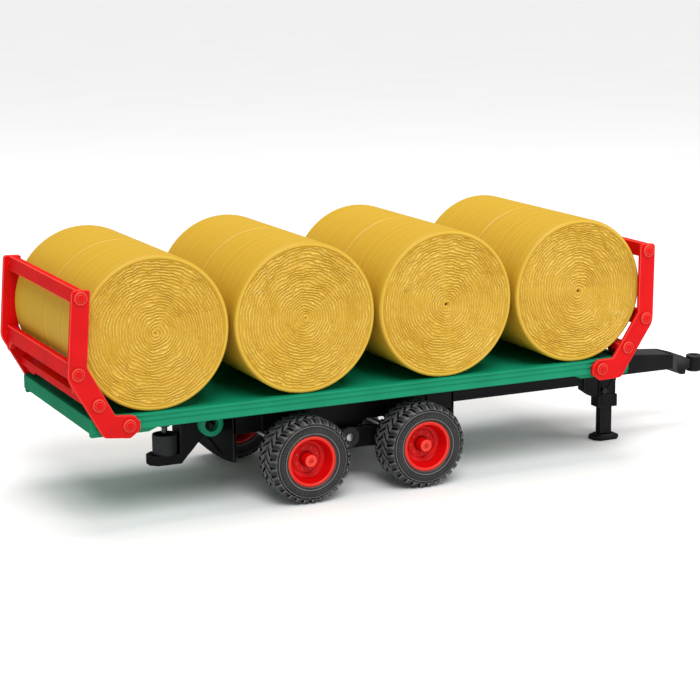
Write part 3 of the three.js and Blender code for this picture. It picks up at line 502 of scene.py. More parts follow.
def new_tree(name, extra):
    """An empty geometry tree with its sockets, and its wiring."""
    tree = bpy.data.node_groups.new(name, "GeometryNodeTree")
    sockets = {}
    for label, kind in [("Geometry", "NodeSocketGeometry")] + extra + [("Finish", "NodeSocketMaterial")]:
        sockets[label] = tree.interface.new_socket(label, in_out="INPUT", socket_type=kind).identifier
    tree.interface.new_socket("Geometry", in_out="OUTPUT", socket_type="NodeSocketGeometry")
    wires = Wiring(tree)
    entry = tree.nodes.new("NodeGroupInput")
    given = {label: Value(wires, entry.outputs[label]) for label in sockets}
    return tree, sockets, wires, given


def close_tree(wires, geometry, finish):
    real = wires.node("GeometryNodeRealizeInstances", {"Geometry": geometry})
    dressed = wires.node("GeometryNodeSetMaterial", {"Geometry": real, "Material": finish})
    wires.node("NodeGroupOutput", {"Geometry": dressed})


def grown(mesh, tree, sockets, values):
    """The plain mesh that a geometry tree makes from a mesh and its named inputs."""
    seed = bpy.data.objects.new("seed", mesh)
    bpy.context.scene.collection.objects.link(seed)
    growth = seed.modifiers.new("growth", "NODES")
    growth.node_group = tree
    for label, value in values.items():
        growth[sockets[label]] = value
    bpy.context.view_layer.update()
    evaluated = seed.evaluated_get(bpy.context.evaluated_depsgraph_get())
    result = bpy.data.meshes.new_from_object(evaluated)
    bpy.data.objects.remove(seed)
    return result


# fasteners: one copy of a fastener at every point, turned about Z by the point's own angle
stud_tree, stud_sockets, wires, given = new_tree("fasteners", [("Fastener", "NodeSocketObject")])
pattern = wires.node("GeometryNodeObjectInfo", {"Object": given["Fastener"]}, "Geometry")
angle = wires.node("GeometryNodeInputNamedAttribute", {"Name": "turn"}, "Attribute", data_type="FLOAT")
turn = wires.node("ShaderNodeCombineXYZ", {"Z": angle})
studs = wires.node(
    "GeometryNodeInstanceOnPoints", {"Points": given["Geometry"], "Instance": pattern, "Rotation": turn}
)
close_tree(wires, studs, given["Finish"])


def fasteners(shapes, points, material, place=Matrix()):
    """A mesh of one fastener at each (x, y, z, turn), in millimetres from the deck's middle."""
    pattern = bpy.data.objects.new("pattern", merged(shapes, Matrix.Translation((-middle / MM, 0, 0))))
    spots = bpy.data.meshes.new("spots")
    spots.from_pydata([Vector(p[:3]) * MM for p in points], [], [])
    turns = spots.attributes.new("turn", "FLOAT", "POINT")
    turns.data.foreach_set("value", [p[3] for p in points])
    mesh = grown(spots, stud_tree, stud_sockets, {"Fastener": pattern, "Finish": material})
    mesh.transform(
        Matrix.Translation((middle, 0, 0)) @ Matrix.Scale(MM, 4) @ place @ Matrix.Scale(1 / MM, 4)
    )
    bpy.data.objects.remove(pattern)
    return mesh


HEAD_HEIGHT = 1.8
THREAD_PITCH = 0.7
screw_profile = [(0, 6.9), (1.0, 6.7)]
for thread in range(9):
    crest = 6.2 - thread * THREAD_PITCH
    screw_profile += [(1.4, crest), (1.1, crest - THREAD_PITCH / 2)]
screw_profile += [(1.3, 0), (2.6, 0), (2.8, -0.3), (2.6, -1.1), (1.7, -1.7), (0, -HEAD_HEIGHT)]
cross_z = (-HEAD_HEIGHT - 0.05, -1.5)
for i, (low, high) in enumerate(screws):
    screw_shapes = [
        turned(screw_profile, along="z", sides=32),
        block((-1.5, 1.5), (-0.25, 0.25), cross_z, 0.05),
        block((-0.25, 0.25), (-1.5, 1.5), cross_z, 0.05),
    ]
    seat = ((low.x + high.x) / 2, 0, low.z + HEAD_HEIGHT, 0.4 * i)
    screw_mesh = fasteners(screw_shapes, [seat], steel)
    mounted(f"screw_{i + 1}", screw_mesh, steel, "trailer", "steel", [f"frame_screw_{i + 1}"])

# ---- axle carrier ----
# A black moulded saddle over the frame. Its end plates hang down between the wheels with a bowed
# lower edge and a raised rib, and its side walls carry the bosses of the bogie's pivot shaft.
carrier_low, carrier_high = span("axle_carrier")
pivot_low, pivot_high = span("bogie_pivot")
pivot_x, pivot_z = (pivot_low.x + pivot_high.x) / 2, (pivot_low.z + pivot_high.z) / 2
plate_half = carrier_high.y
PLATE = 2.5  # thickness of the saddle's walls
BOW = 2.5  # rise of the end plates' lower edge towards its ends
slot_half = CHANNEL_HALF + 0.3
slot_bottom = frame_bottom - 0.3
end_plate = [(t * plate_half, carrier_low.z + BOW * t * t) for t in np.linspace(-1, 1, 17)]
end_plate += [
    (plate_half, frame_top), (slot_half, frame_top), (slot_half, slot_bottom),
    (-slot_half, slot_bottom), (-slot_half, frame_top), (-plate_half, frame_top),
]
carrier_shapes = []
for x in (carrier_low.x, carrier_high.x - PLATE):
    carrier_shapes.append(slab(end_plate, x, x + PLATE, "x", soft=0.5))
rib_back = carrier_low.x - 1.2
carrier_shapes.append(
    slab([(15.5, carrier_low.z + 10.4), (16.5, carrier_low.z + 12.4), (-13.5, carrier_low.z + 4.6),
          (-14.5, carrier_low.z + 2.6)], rib_back, carrier_low.x + 0.5, "x", soft=0.3)
)
STIFFENERS = (26, 60)  # heights of the upright ribs' ends
for y in (-30, 30, -22, 22):
    carrier_shapes.append(
        block((carrier_low.x + 2, carrier_low.x + 5), (y - 0.7, y + 0.7), STIFFENERS, 0.3)
    )
low_edge = frame_bottom + 0.5
side_wall = (
    [(carrier_low.x, low_edge), (pivot_x - 17, low_edge), (pivot_x - 10, low_edge - 4)]
    + arc(pivot_x, pivot_z, 7, 180, 360, 16)
    + [(pivot_x + 10, low_edge - 4), (pivot_x + 17, low_edge), (carrier_high.x, low_edge),
       (carrier_high.x, frame_top), (carrier_low.x, frame_top)]
)
for side in (-1, 1):
    carrier_shapes.append(slab(side_wall, *sorted((side * plate_half, side * (plate_half - PLATE)))))
    y_face = side * plate_half
    carrier_shapes.append(
        turned([(3.3, 0), (5.6, 0), (6, side * 0.5), (5.8, side * 2.4), (3.3, side * 2.6)],
               (pivot_x, y_face, pivot_z), ring=True)
    )
    for x in np.linspace(carrier_low.x + 22, carrier_high.x - 22, 5):
        if abs(x - pivot_x) > 20:
            rib_y = sorted((y_face, y_face + side * 1.4))
            carrier_shapes.append(block((x - 0.8, x + 0.8), rib_y, (low_edge, frame_top), 0.3))
mounted("axle_saddle", merged(carrier_shapes), *BLACK_PART, ["axle_carrier"])

# ---- bogie ----
# Two black rocker beams sit on one steel shaft through the saddle, and each holds an end of the two
# steel axles in a round boss, so that the wheels on a side can rise and fall together.
axles = [span(f"axle_{end}") for end in ("rear", "front")]
axle_z = (axles[0][0].z + axles[0][1].z) / 2
axle_x = [(low.x + high.x) / 2 for low, high in axles]
AXLE_BOSS = 5.2
AXLE_BORE = 2.5
SHAFT_BOSS = 7.4
SHAFT_BORE = 3.3
beam = (
    [(pivot_x - 10, pivot_z - 8), (pivot_x + 10, pivot_z - 8)]
    + arc(axle_x[1], axle_z, AXLE_BOSS, -90, 60, 12)
    + [(pivot_x + 20, pivot_z + 7), (pivot_x - 20, pivot_z + 7)]
    + arc(axle_x[0], axle_z, AXLE_BOSS, 120, 270, 12)
)
for side, name in ((-1, "right"), (1, "left")):
    low, high = span(f"bogie_rocker_{name}")
    shapes = [slab(beam, low.y + 0.6, high.y - 0.6, soft=0.5)]
    for x, z, radius, bore in (
        (pivot_x, pivot_z, SHAFT_BOSS, SHAFT_BORE),
        (axle_x[0], axle_z, AXLE_BOSS, AXLE_BORE),
        (axle_x[1], axle_z, AXLE_BOSS, AXLE_BORE),
    ):
        shapes.append(
            turned([(bore, low.y), (radius - 0.4, low.y), (radius, low.y + 0.4), (radius, high.y - 0.4),
                    (radius - 0.4, high.y), (bore, high.y)], (x, 0, z), ring=True)
        )
    y_out = (high.y if side > 0 else low.y) - side * 0.3
    lip_z = (pivot_z + 5.4, pivot_z + 6.7)
    shapes.append(block((pivot_x - 19, pivot_x + 19), sorted((y_out, y_out - side)), lip_z, 0.3))
    mounted(f"rocker_{name}", merged(shapes), black_plastic, "bogie", "black_plastic",
            [f"bogie_rocker_{name}"])


def shaft(radius, low, high, x, z):
    """A turned shaft with a small chamfer at each end."""
    return turned([(0, low), (radius - 0.4, low), (radius, low + 0.4), (radius, high - 0.4),
                   (radius - 0.4, high), (0, high)], (x, 0, z), sides=40)


PIVOT_RADIUS, AXLE_RADIUS = 3, 2.2
pivot_shaft = merged([shaft(PIVOT_RADIUS, pivot_low.y, pivot_high.y, pivot_x, pivot_z)])
mounted("pivot_shaft", pivot_shaft, steel, "bogie", "steel", ["bogie_pivot"])
for end, (low, high), x in zip(("rear", "front"), axles, axle_x):
    axle_shaft = merged([shaft(AXLE_RADIUS, low.y, high.y, x, axle_z)])
    mounted(f"axle_shaft_{end}", axle_shaft, steel, "bogie", "steel", [f"axle_{end}"])

# ---- tyres ----
# Soft black moulded tyres, pressed on to the rims. The tread is two rows of staggered slanting
# blocks on each side, and the walls are smooth, with a raised ring and short radial marks.
tyre_low, tyre_high = span("tyre_rear_right")
wheel_radius = (tyre_high.z - tyre_low.z) / 2
tyre_half = (tyre_high.y - tyre_low.y) / 2
wheel_y = (abs(tyre_low.y) + abs(tyre_high.y)) / 2
LUG_HEIGHT = 1.8
tread = wheel_radius - LUG_HEIGHT

material_tyre, wires = material_wiring("tyre_rubber")
drift = wires.noise(wires.spot(), 90.0, 4.0)
specks = wires.noise(wires.spot(), 1900.0, 3.0)
# outward edges of the rubber lightened: partly wear, partly painted highlight
worn_and_highlit_edges = wires.stored("edges").between(0.6, 0.95)
tone = wires.mix(drift.between(0.3, 0.7), (0.008, 0.008, 0.009, 1), (0.017, 0.017, 0.018, 1))
tone = wires.mix(worn_and_highlit_edges * 0.8, tone, (0.160, 0.160, 0.156, 1))
bumps = wires.bump(specks + drift, 0.5, 0.0001)
surface = wires.node(
    "ShaderNodeBsdfPrincipled",
    {"Base Color": tone, "Roughness": 0.42 + 0.2 * (drift - 0.5) - 0.1 * worn_and_highlit_edges, "Normal": bumps,
     "Specular IOR Level": 0.3},
)
wires.node("ShaderNodeOutputMaterial", {"Surface": surface})

# repeat_round: copies of the given shape, evenly round the Y axis
round_tree, round_sockets, wires, given = new_tree(
    "repeat_round", [("Count", "NodeSocketInt"), ("Start", "NodeSocketFloat")]
)
points = wires.node("GeometryNodePoints", {"Count": given["Count"]})
index = wires.node("GeometryNodeInputIndex")
angle = index * (2 * math.pi) / given["Count"] + given["Start"]
turn = wires.node("ShaderNodeCombineXYZ", {"Y": angle})
copies = wires.node(
    "GeometryNodeInstanceOnPoints", {"Points": points, "Instance": given["Geometry"], "Rotation": turn}
)
close_tree(wires, copies, given["Finish"])

LUGS = 30
LUG_WIDTH = 3.9
WALL_MARKS = 72
to_origin = Matrix.Translation((-middle / MM, 0, 0))


def tyre_mesh():
    """One tyre about the origin, in metres, its outer wall towards +Y."""
    h = tyre_half
    bore = 18.0
    profile = [
        (bore, -h + 1.6), (bore + 0.6, -h + 0.6), (bore + 2.2, -h + 0.1), (22.6, -h), (24.8, -h + 0.4),
        (26.7, -h + 1.4), (tread - 0.6, -h + 3.2), (tread, -9), (tread, 0), (tread, 9),
        (tread - 0.6, h - 3.2), (26.6, h - 1.5), (25.4, h - 0.7), (25.2, h - 0.35), (24.9, h - 0.3),
        (24.7, h - 0.45), (23.6, h - 0.1), (22.4, h), (21.2, h - 0.05), (20.3, h - 0.35),
        (20.1, h - 0.15), (19.5, h - 0.3), (19.3, h - 0.6), (bore + 0.9, h - 0.7), (bore + 0.4, h - 1.0),
        (bore, h - 1.6), (bore, 0),
    ]
    carcass = merged([turned(profile, sides=112, ring=True)], to_origin)
    lugs = []
    for side in (-1, 1):
        top = wheel_radius
        outer = [(7.4, tread - 1), (7.4, top - 0.3), (8.0, top), (10.8, top - 0.1), (12.6, top - 0.9),
                 (13.6, 27.9), (14.1, 26.7), (13.8, 26.2), (12.4, 26.6)]
        inner = [(0.4, tread - 1), (0.4, top - 0.3), (1.0, top), (6.3, top), (6.9, top - 0.4),
                 (6.9, tread - 1)]
        for outline, lean, shift in ((outer, -0.3, 0.0), (inner, 0.75, 1.9)):
            points = [(side * y, z) for y, z in outline]
            lug = slab(points, -LUG_WIDTH / 2, LUG_WIDTH / 2, "x")
            middle_y = sum(y for y, z in outline) / len(outline)
            for corner in lug.verts:
                corner.co.x += shift + lean * (abs(corner.co.y) - middle_y)
                corner.co.x += (math.pi * wheel_radius / LUGS) * (side > 0)
                corner.co.z *= math.cos(corner.co.x / wheel_radius)
            lugs.append(lug)
    lug_mesh = grown(merged(lugs, to_origin), round_tree, round_sockets,
                     {"Count": LUGS, "Start": 0.0, "Finish": material_tyre})
    mark = [(-0.2, 21.2), (0.2, 21.2), (0.9, 23.2), (0.5, 23.2)]
    marks = grown(merged([slab(mark, h - 0.6, h - 0.02, soft=0.08, steps=1)], to_origin), round_tree,
                  round_sockets, {"Count": WALL_MARKS, "Start": 0.1, "Finish": material_tyre})
    return joined(carcass, lug_mesh, marks)


# ---- rims and hub caps ----
# Bright red moulded rims: a rounded lip, a deep stepped dish, a ring of small nuts and a hub boss
# closed by a pressed-in cap. The hub turns on the end of its axle.
RED = (0.66, 0.003, 0.004, 1)
RED_SHADE = (0.56, 0.002, 0.003, 1)
# edge colour: partly worn plastic, partly painted highlight
RED_WEAR_AND_HIGHLIGHT = (0.86, 0.085, 0.055, 1)
red_plastic = plastic("red_plastic", RED, RED_SHADE, RED_WEAR_AND_HIGHLIGHT, 0.34)

rim_low, rim_high = span("rim_rear_right")
rim_radius = (rim_high.z - rim_low.z) / 2
rim_half = (rim_high.y - rim_low.y) / 2
cap_low, cap_high = span("hub_cap_rear_left")
hub_face = cap_high.y - wheel_y
web_face = 2.5
WHEEL_NUTS = 8
NUT_CIRCLE = 7.9


def rim_mesh():
    """One rim about the origin, in metres, its dish open towards +Y."""
    r, h, f, w = rim_radius, rim_half, hub_face, web_face
    profile = [
        (0, f - 1.4), (2.5, f - 1.4), (2.5, f - 0.2), (2.8, f), (3.7, f), (4.1, f - 0.3), (4.2, f - 0.8),
        (4.5, w + 2.6), (4.7, w + 1.0), (5.3, w + 0.2), (6.2, w), (9.6, w), (10.2, w + 0.2),
        (10.7, w + 1.0), (11.2, w + 1.3), (12.4, w + 1.5), (13.2, w + 2.0), (13.9, w + 3.2),
        (15.2, h - 1.8), (15.6, h - 0.6), (16.1, h - 0.1), (16.5, h), (17.2, h), (r, h - 0.5),
        (r, -h + 0.5), (17.2, -h), (16.4, -h), (16.0, -h + 0.6), (15.4, w - 2.4), (14.6, w - 3),
        (5.4, w - 3), (5.0, w - 3.4), (5.0, -h + 0.4), (4.6, -h), (2.5, -h), (2.5, f - 2.9), (0, f - 2.9),
    ]
    body = merged([turned(profile, sides=96)], to_origin)
    nut = [turned([(0, w + 0.9), (0.7, w + 0.8), (0.95, w + 0.5), (1.05, w - 0.2), (0, w - 0.2)],
                  (0, 0, NUT_CIRCLE), sides=16)]
    nuts = grown(merged(nut, to_origin), round_tree, round_sockets,
                 {"Count": WHEEL_NUTS, "Start": 0.2, "Finish": red_plastic})
    return joined(body, nuts)


def cap_mesh():
    """One hub cap about the origin, in metres."""
    f = hub_face
    profile = [(0, f - 1.3), (2.2, f - 1.3), (2.4, f - 1.1), (2.4, f - 0.4), (2.1, f - 0.05), (1.5, f),
               (1.35, f - 0.25), (0.9, f - 0.3), (0.75, f - 0.05), (0.4, f), (0, f)]
    return merged([turned(profile, sides=48)], to_origin)


tyre_shape, rim_shape, cap_shape = tyre_mesh(), rim_mesh(), cap_mesh()
for end, x in zip(("rear", "front"), axle_x):
    for side, name in ((-1, "right"), (1, "left")):
        turn = Matrix.Rotation(0 if side > 0 else math.pi, 4, "Z")
        turn = turn @ Matrix.Rotation({"rear": 0.15, "front": 0.6}[end], 4, "Y")
        place = Matrix.Translation((middle + x * MM, side * wheel_y * MM, axle_z * MM)) @ turn
        body = f"{end}_wheel_{name}"
        for label, shape, material, slot, node in (
            ("tyre", tyre_shape, material_tyre, "tyre_rubber", "tyre"),
            ("wheel_rim", rim_shape, red_plastic, "red_plastic", "rim"),
            ("wheel_cap", cap_shape, red_plastic, "red_plastic", "hub_cap"),
        ):
            mesh = shape.copy()
            mesh.transform(place)
            mounted(f"{label}_moulding_{end}_{name}", mesh, material, body, slot,
                    [f"{node}_{end}_{name}"], crease=40)

# ---- end racks ----
# Each red rack is two bent side plates joined by three cross bars, whose ends are pinned through the
# plates with low round heads. Two more pins let the whole rack fold about the deck's ears.
PLATE_OUTLINE = [
    (-1, -8.6), (15.6, -7.5), (17.6, -6.4), (19.4, -3.6), (40.4, 30.6), (41.3, 33), (41.6, 36),
    (39.8, 88), (39.4, 89.6), (38, 90.3), (28.8, 90.3), (27.6, 89.8), (27.2, 88.7), (28.7, 39.8),
    (9.4, 7.3), (-3.4, 6.6), (-7.8, 2.2), (-7.8, -3.6),
]
TOP_BAR, MIDDLE_BAR, LOWER_BAR = (33.8, 85.2), (35, 35.8), (21, 14.8)
BAR_HALF = 5.2
BAR_THICKNESS = 5
plate_in = half_width + 0.3
plate_out = plate_in + 3


def pin_shapes(inner_end):
    """A pin about the origin, its head outwards along +Y: a low dome inside a raised ring."""
    seat = plate_out + 0.3
    profile = [
        (0, inner_end), (2.2, inner_end), (2.5, inner_end + 0.4), (2.5, seat), (4.2, seat),
        (4.4, seat + 0.25), (4.35, seat + 0.9), (4.0, seat + 1.35), (3.6, seat + 1.45), (3.35, seat + 1.2),
        (3.1, seat + 1.2), (2.8, seat + 1.5), (1.8, seat + 1.8), (0, seat + 1.9),
    ]
    return [turned(profile, sides=48)]


def bar_depth(x):
    """Where a bar's two flat faces lie."""
    return x - BAR_THICKNESS / 2, x + BAR_THICKNESS / 2


def with_pins(shapes, centre, lean):
    """Bar shapes and a pin at each end of them, as one mesh in the rack's own pose."""
    x, z = centre
    pins = fasteners(
        pin_shapes(half_width - 1), [(x, 0, z, 0.0), (x, 0, z, math.pi)], red_plastic, lean
    )
    return joined(pins, merged(shapes, lean))


joints = {joint["name"]: joint for joint in frame["joints"]}
for end, facing, tilt in (("front", 0, 2.6), ("rear", math.pi, -2.6)):
    body = f"{end}_rack"
    pivot = Vector(joints[f"{end}_rack_fold"]["pos_m"]) / MM - Vector((middle / MM, 0, 0))
    lean = (
        Matrix.Translation(pivot) @ Matrix.Rotation(facing, 4, "Z")
        @ Matrix.Rotation(math.radians(tilt), 4, "Y")
    )
    for side, name in ((-1, "right"), (1, "left")):
        own_side = side if facing == 0 else -side
        plate_y = sorted((own_side * plate_in, own_side * plate_out))
        plate = merged([slab(PLATE_OUTLINE, *plate_y, soft=0.7, steps=3)], lean)
        mounted(f"{end}_side_plate_{name}", plate, red_plastic, body, "red_plastic",
                [f"{end}_rack_plate_{name}"])
        pin = fasteners(pin_shapes(half_width - 4), [(0, 0, 0, 0.0 if own_side > 0 else math.pi)],
                        red_plastic, lean)
        mounted(f"{end}_fold_pin_{name}", pin, red_plastic, body, "red_plastic",
                [f"{end}_rack_pivot_pin_{name}"])
    w = half_width
    x, z = TOP_BAR
    top = [block(bar_depth(x), (-w, w), (z - BAR_HALF, z + BAR_HALF), 1.1, 3)]
    x, z = MIDDLE_BAR
    haunch = [(w, z - 13)]
    haunch += [(w - 9 + 8 * t * t, z - BAR_HALF - 7.8 * t) for t in (0.85, 0.6, 0.3, 0.1)]
    outline = haunch + [(-y, h) for y, h in reversed(haunch)] + [(-w, z + BAR_HALF), (w, z + BAR_HALF)]
    middle_bar = [slab(outline, *bar_depth(x), "x", soft=0.9, steps=3)]
    x, z = LOWER_BAR
    lower = [block((x - 6, x + 6), (-w, w), (z - 2.5, z + 2.5), 0.7)]
    for side in (-1, 1):
        tab = [(side * w, z - 1.5), (side * (w - 21), z - 1.5), (side * (w - 18.4), z - 6.4),
               (side * (w - 17.4), z - 7), (side * w, z - 7)]
        lower.append(slab(tab, *bar_depth(x), "x", soft=0.5))
    for name, shapes, centre in (
        ("top_bar", top, TOP_BAR),
        ("middle_bar", middle_bar, MIDDLE_BAR),
        ("lower_bar", lower, LOWER_BAR),
    ):
        mounted(f"{end}_{name}", with_pins(shapes, centre, lean), red_plastic, body, "red_plastic",
                [f"{end}_rack_{name}"])

# ---- drawbar and towing eye ----
# The drawbar is a black moulded box, open below, whose tongue slides into the frame. It slopes and
# tapers to a nose with a wedge under it, and the towing eye stands on end in front of the nose.
bar_low, bar_high = span("drawbar")
nose = bar_high.x
bar_half = bar_high.y
front_edge = frame_high.x
tongue_low = frame_bottom + 3.5
tongue_high = roof - 0.3
box_low = tongue_low - 1.3
NOSE_TAPER = 16
NOSE_HALF = 4.5
nose_low, nose_high = 43, 50


def nose_half(x, z):
    """Half the drawbar's width at x: straight, then narrowing over the last stretch."""
    taper = max(0.0, x - (nose - NOSE_TAPER)) / NOSE_TAPER
    return bar_half + (NOSE_HALF - bar_half) * taper


skin = [
    (bar_low.x, tongue_low), (front_edge + 6, tongue_low), (front_edge + 12, box_low),
    (nose - 21, box_low), (nose - 12, bar_low.z + 1), (nose - 6, bar_low.z), (nose - 5, nose_low),
    (nose, nose_low), (nose, nose_high), (nose - 11, frame_top - 11.2), (nose - 21, frame_top - 8.4),
    (nose - 59, frame_top - 5.2), (front_edge + 6, tongue_high), (bar_low.x, tongue_high),
]
roof_line = [(bar_low.x, tongue_high), (front_edge + 6, tongue_high), (nose - 59, frame_top - 5.2),
             (nose - 24, frame_top - 8.1)]
drawbar_shapes = [
    slab(roof_line + [(x, z - 2.2) for x, z in reversed(roof_line)], -bar_half + 1.2, bar_half - 1.2,
         soft=0),
    flared([p for p in skin if p[0] > nose - 22], lambda x, z: -nose_half(x, z), nose_half, soft=0.6),
]
for side in (-1, 1):
    wall_outline = [p for p in skin if p[0] < nose - 20]
    wall_y = sorted((side * bar_half, side * (bar_half - 2.2)))
    drawbar_shapes.append(slab(wall_outline, *wall_y, soft=0.6))
for x in (bar_low.x + 1, front_edge - 6):
    drawbar_shapes.append(
        block((x, x + 2), (-bar_half + 1, bar_half - 1), (tongue_low, tongue_high - 1), 0.3)
    )
mounted("drawbar_box", merged(drawbar_shapes), *BLACK_PART, ["drawbar"])

eye_low, eye_high = span("towing_eye")
eye_radius = eye_high.y
eye_x = eye_high.x - eye_radius
z0, z1 = eye_low.z, eye_high.z
ring = [(3.5, z0 + 0.6), (4.1, z0), (5.3, z0), (5.9, z0 + 0.5), (6.1, z0 + 1.4), (6.1, z1 - 1.4),
        (5.9, z1 - 0.5), (5.3, z1), (4.1, z1), (3.5, z1 - 0.6)]
eye_shapes = [
    turned(ring, (eye_x, 0, 0), "z", 64, ring=True),
    block((eye_low.x, eye_x - 4), (-3, 3), (z0 + 3, z1 - 3), 0.7, 3),
]
mounted("towing_ring", merged(eye_shapes), *BLACK_PART, ["towing_eye"])

# ---- jack leg ----
# A square sleeve on the drawbar's right flank holds a sliding leg with an eight-sided foot. Sleeve,
# leg and foot are black plastic, and a small catch knob on the sleeve locks the leg.
sleeve_low, sleeve_high = span("leg_housing")
post_low, post_high = span("leg_post")
post_x, post_y = (post_low.x + post_high.x) / 2, (post_low.y + post_high.y) / 2
SLEEVE_HALF_X, SLEEVE_HALF_Y = 8.25, 5.7
sleeve_x = (post_x - SLEEVE_HALF_X, post_x + SLEEVE_HALF_X)
sleeve_y = (post_y - SLEEVE_HALF_Y, post_y + SLEEVE_HALF_Y)
collar_top = sleeve_low.z + 9.5


def sleeve(x, y, z, soft):
    """Four walls round the leg."""
    gap_x = (post_low.x - 0.3, post_high.x + 0.3)
    gap_y = (post_low.y - 0.3, post_high.y + 0.3)
    return [
        block((x[0], gap_x[0]), y, z, soft), block((gap_x[1], x[1]), y, z, soft),
        block((gap_x[0] - 1, gap_x[1] + 1), (y[0], gap_y[0]), z, soft),
        block((gap_x[0] - 1, gap_x[1] + 1), (gap_y[1], y[1]), z, soft),
    ]


leg_shapes = sleeve(sleeve_x, sleeve_y, (sleeve_low.z, collar_top), 0.35)
leg_shapes += sleeve((sleeve_x[0] + 1, sleeve_x[1] - 1), (sleeve_y[0] + 1, sleeve_y[1]),
                     (collar_top - 1, sleeve_high.z), 0.3)
gusset = [
    (sleeve_low.x, frame_bottom - 4), (sleeve_x[0] - 4, collar_top - 1), (sleeve_x[0] + 1, collar_top - 1),
    (sleeve_x[0] + 1, sleeve_high.z - 4), (sleeve_low.x, sleeve_high.z - 4),
]
leg_shapes.append(slab(gusset, sleeve_y[0] + 2, sleeve_y[1] - 0.2, soft=0.5))
brace = [(sleeve_x[0] + 2, collar_top - 1), (sleeve_x[0] + 5, collar_top - 1),
         (sleeve_x[1] - 1.2, collar_top + 11), (sleeve_x[1] - 1.2, collar_top + 14)]
leg_shapes.append(slab(brace, sleeve_y[0], sleeve_y[0] + 1.6, soft=0.3))
leg_shapes.append(
    turned([(0, -2.5), (1.3, -2.5), (1.8, -2.1), (1.8, -1.2), (1.3, -0.8), (1.3, 2), (0, 2)],
           (sleeve_x[0] + 4, sleeve_y[0], collar_top + 4), sides=32)
)
mounted("leg_sleeve", merged(leg_shapes), *BLACK_PART, ["leg_housing"])

post_shapes = [block(*zip(post_low, post_high), 0.5)]
step_y = (post_low.y - 0.15, post_low.y + 1)
for i in range(4):
    z = post_low.z + 5 + 3.2 * i
    post_shapes.append(block((post_x - 2.2, post_x + 2.2), step_y, (z, z + 1.5), 0.2))
mounted("leg_bar", merged(post_shapes), black_plastic, "jack_leg", "black_plastic", ["leg_post"])

foot_low, foot_high = span("leg_foot")
FOOT_CUT = 4
UPPER_FOOT = 0.78  # its size against the lower plate's
fx, fy, cut = (foot_high.x - foot_low.x) / 2, (foot_high.y - foot_low.y) / 2, FOOT_CUT
octagon = [(-fx, -fy + cut), (-fx + cut, -fy), (fx - cut, -fy), (fx, -fy + cut), (fx, fy - cut),
           (fx - cut, fy), (-fx + cut, fy), (-fx, fy - cut)]
foot_shapes = [
    slab([(post_x + x, post_y + y) for x, y in octagon], foot_low.z, foot_high.z - 1.2, "z", soft=0.5),
    slab([(post_x + UPPER_FOOT * x, post_y + UPPER_FOOT * y) for x, y in octagon],
         foot_low.z + 1, foot_high.z, "z", soft=0.5),
]
mounted("leg_base", merged(foot_shapes), black_plastic, "jack_leg", "black_plastic", ["leg_foot"])

# ---- rear coupling ----
# A black moulded bracket behind the frame carries a round cup on a base with cut corners. A blackened
# steel pin with a knob drops through the cup to hold a second trailer's towing eye.
hitch_low, hitch_high = span("hitch_body")
pin_low, pin_high = span("hitch_pin")
hitch_x = (pin_low.x + pin_high.x) / 2
BASE_THICKNESS, BASE_HALF, BASE_CUT = 7.2, 8.5, 5
CUP_HEIGHT, CUP_RADIUS, CUP_WALL = 13.8, 8.8, 1.3
base_top = hitch_low.z + BASE_THICKNESS
cup_top = base_top + CUP_HEIGHT
cup_in = CUP_RADIUS - CUP_WALL
back = hitch_low.x
bracket_rear = hitch_x + 8.5
bracket_front = hitch_high.x
z = hitch_low.z
base = [
    (back + BASE_CUT, -BASE_HALF), (bracket_rear + 1, -BASE_HALF), (bracket_rear + 1, BASE_HALF),
    (back + BASE_CUT, BASE_HALF), (back, BASE_HALF - BASE_CUT), (back, -BASE_HALF + BASE_CUT),
]
cup = [
    (cup_in, base_top - 0.5), (CUP_RADIUS, base_top - 0.5), (CUP_RADIUS, cup_top - 0.5),
    (CUP_RADIUS - 0.3, cup_top - 0.1), (CUP_RADIUS - 0.7, cup_top), (cup_in + 0.3, cup_top - 0.1),
    (cup_in, cup_top - 0.5),
]
hitch_shapes = [
    slab(base, z, base_top, "z", soft=0.6, steps=3),
    slab([(bracket_rear, z), (bracket_rear + 1, z), (bracket_rear + 16, z + 16), (bracket_front, z + 22),
          (bracket_front, frame_top), (bracket_rear, frame_top)], -8, 8, soft=0.7, steps=3),
    turned(cup, (hitch_x, 0, 0), "z", 64, ring=True),
]
for y in (-8.3, 8.3):
    hitch_shapes.append(
        block((bracket_rear + 0.6, bracket_rear + 2.4), (y - 0.6, y + 0.6), (z + 8, frame_top - 0.5), 0.3)
    )
mounted("coupling_cup", merged(hitch_shapes), *BLACK_PART, ["hitch_body"])

top = pin_high.z
pin_profile = [(0, pin_low.z), (1.6, pin_low.z), (2.1, pin_low.z + 0.6), (2.1, top - 4.4), (2.6, top - 4),
               (3.6, top - 3.8), (4.0, top - 3.3), (4.0, top - 0.9), (3.5, top - 0.2), (2.6, top), (0, top)]
blackened = turned_steel("blackened_steel", (0.05, 0.05, 0.052, 1), (0.10, 0.10, 0.102, 1))
drop_pin = merged([turned(pin_profile, (hitch_x, 0, 0), "z", 48)])
mounted("coupling_pin", drop_pin, blackened, "hitch_pin", "steel", ["hitch_pin"])

# ---- bales ----
# Eight hollow straw-yellow mouldings lie loose on the deck. The round face shows the rolled straw as
# one wavy spiral inside a smooth rim, with a vent hole in its middle; the side is almost smooth.
STRAW = (0.60, 0.370, 0.030, 1)
# darker straw: painted shade in the spiral's valleys, and the fine lines on the side
STRAW_SHADE_AND_LINE = (0.18, 0.080, 0.003, 1)
# pale straw: painted highlight on the spiral's crests
STRAW_PAINTED_HIGHLIGHT = (0.88, 0.66, 0.18, 1)

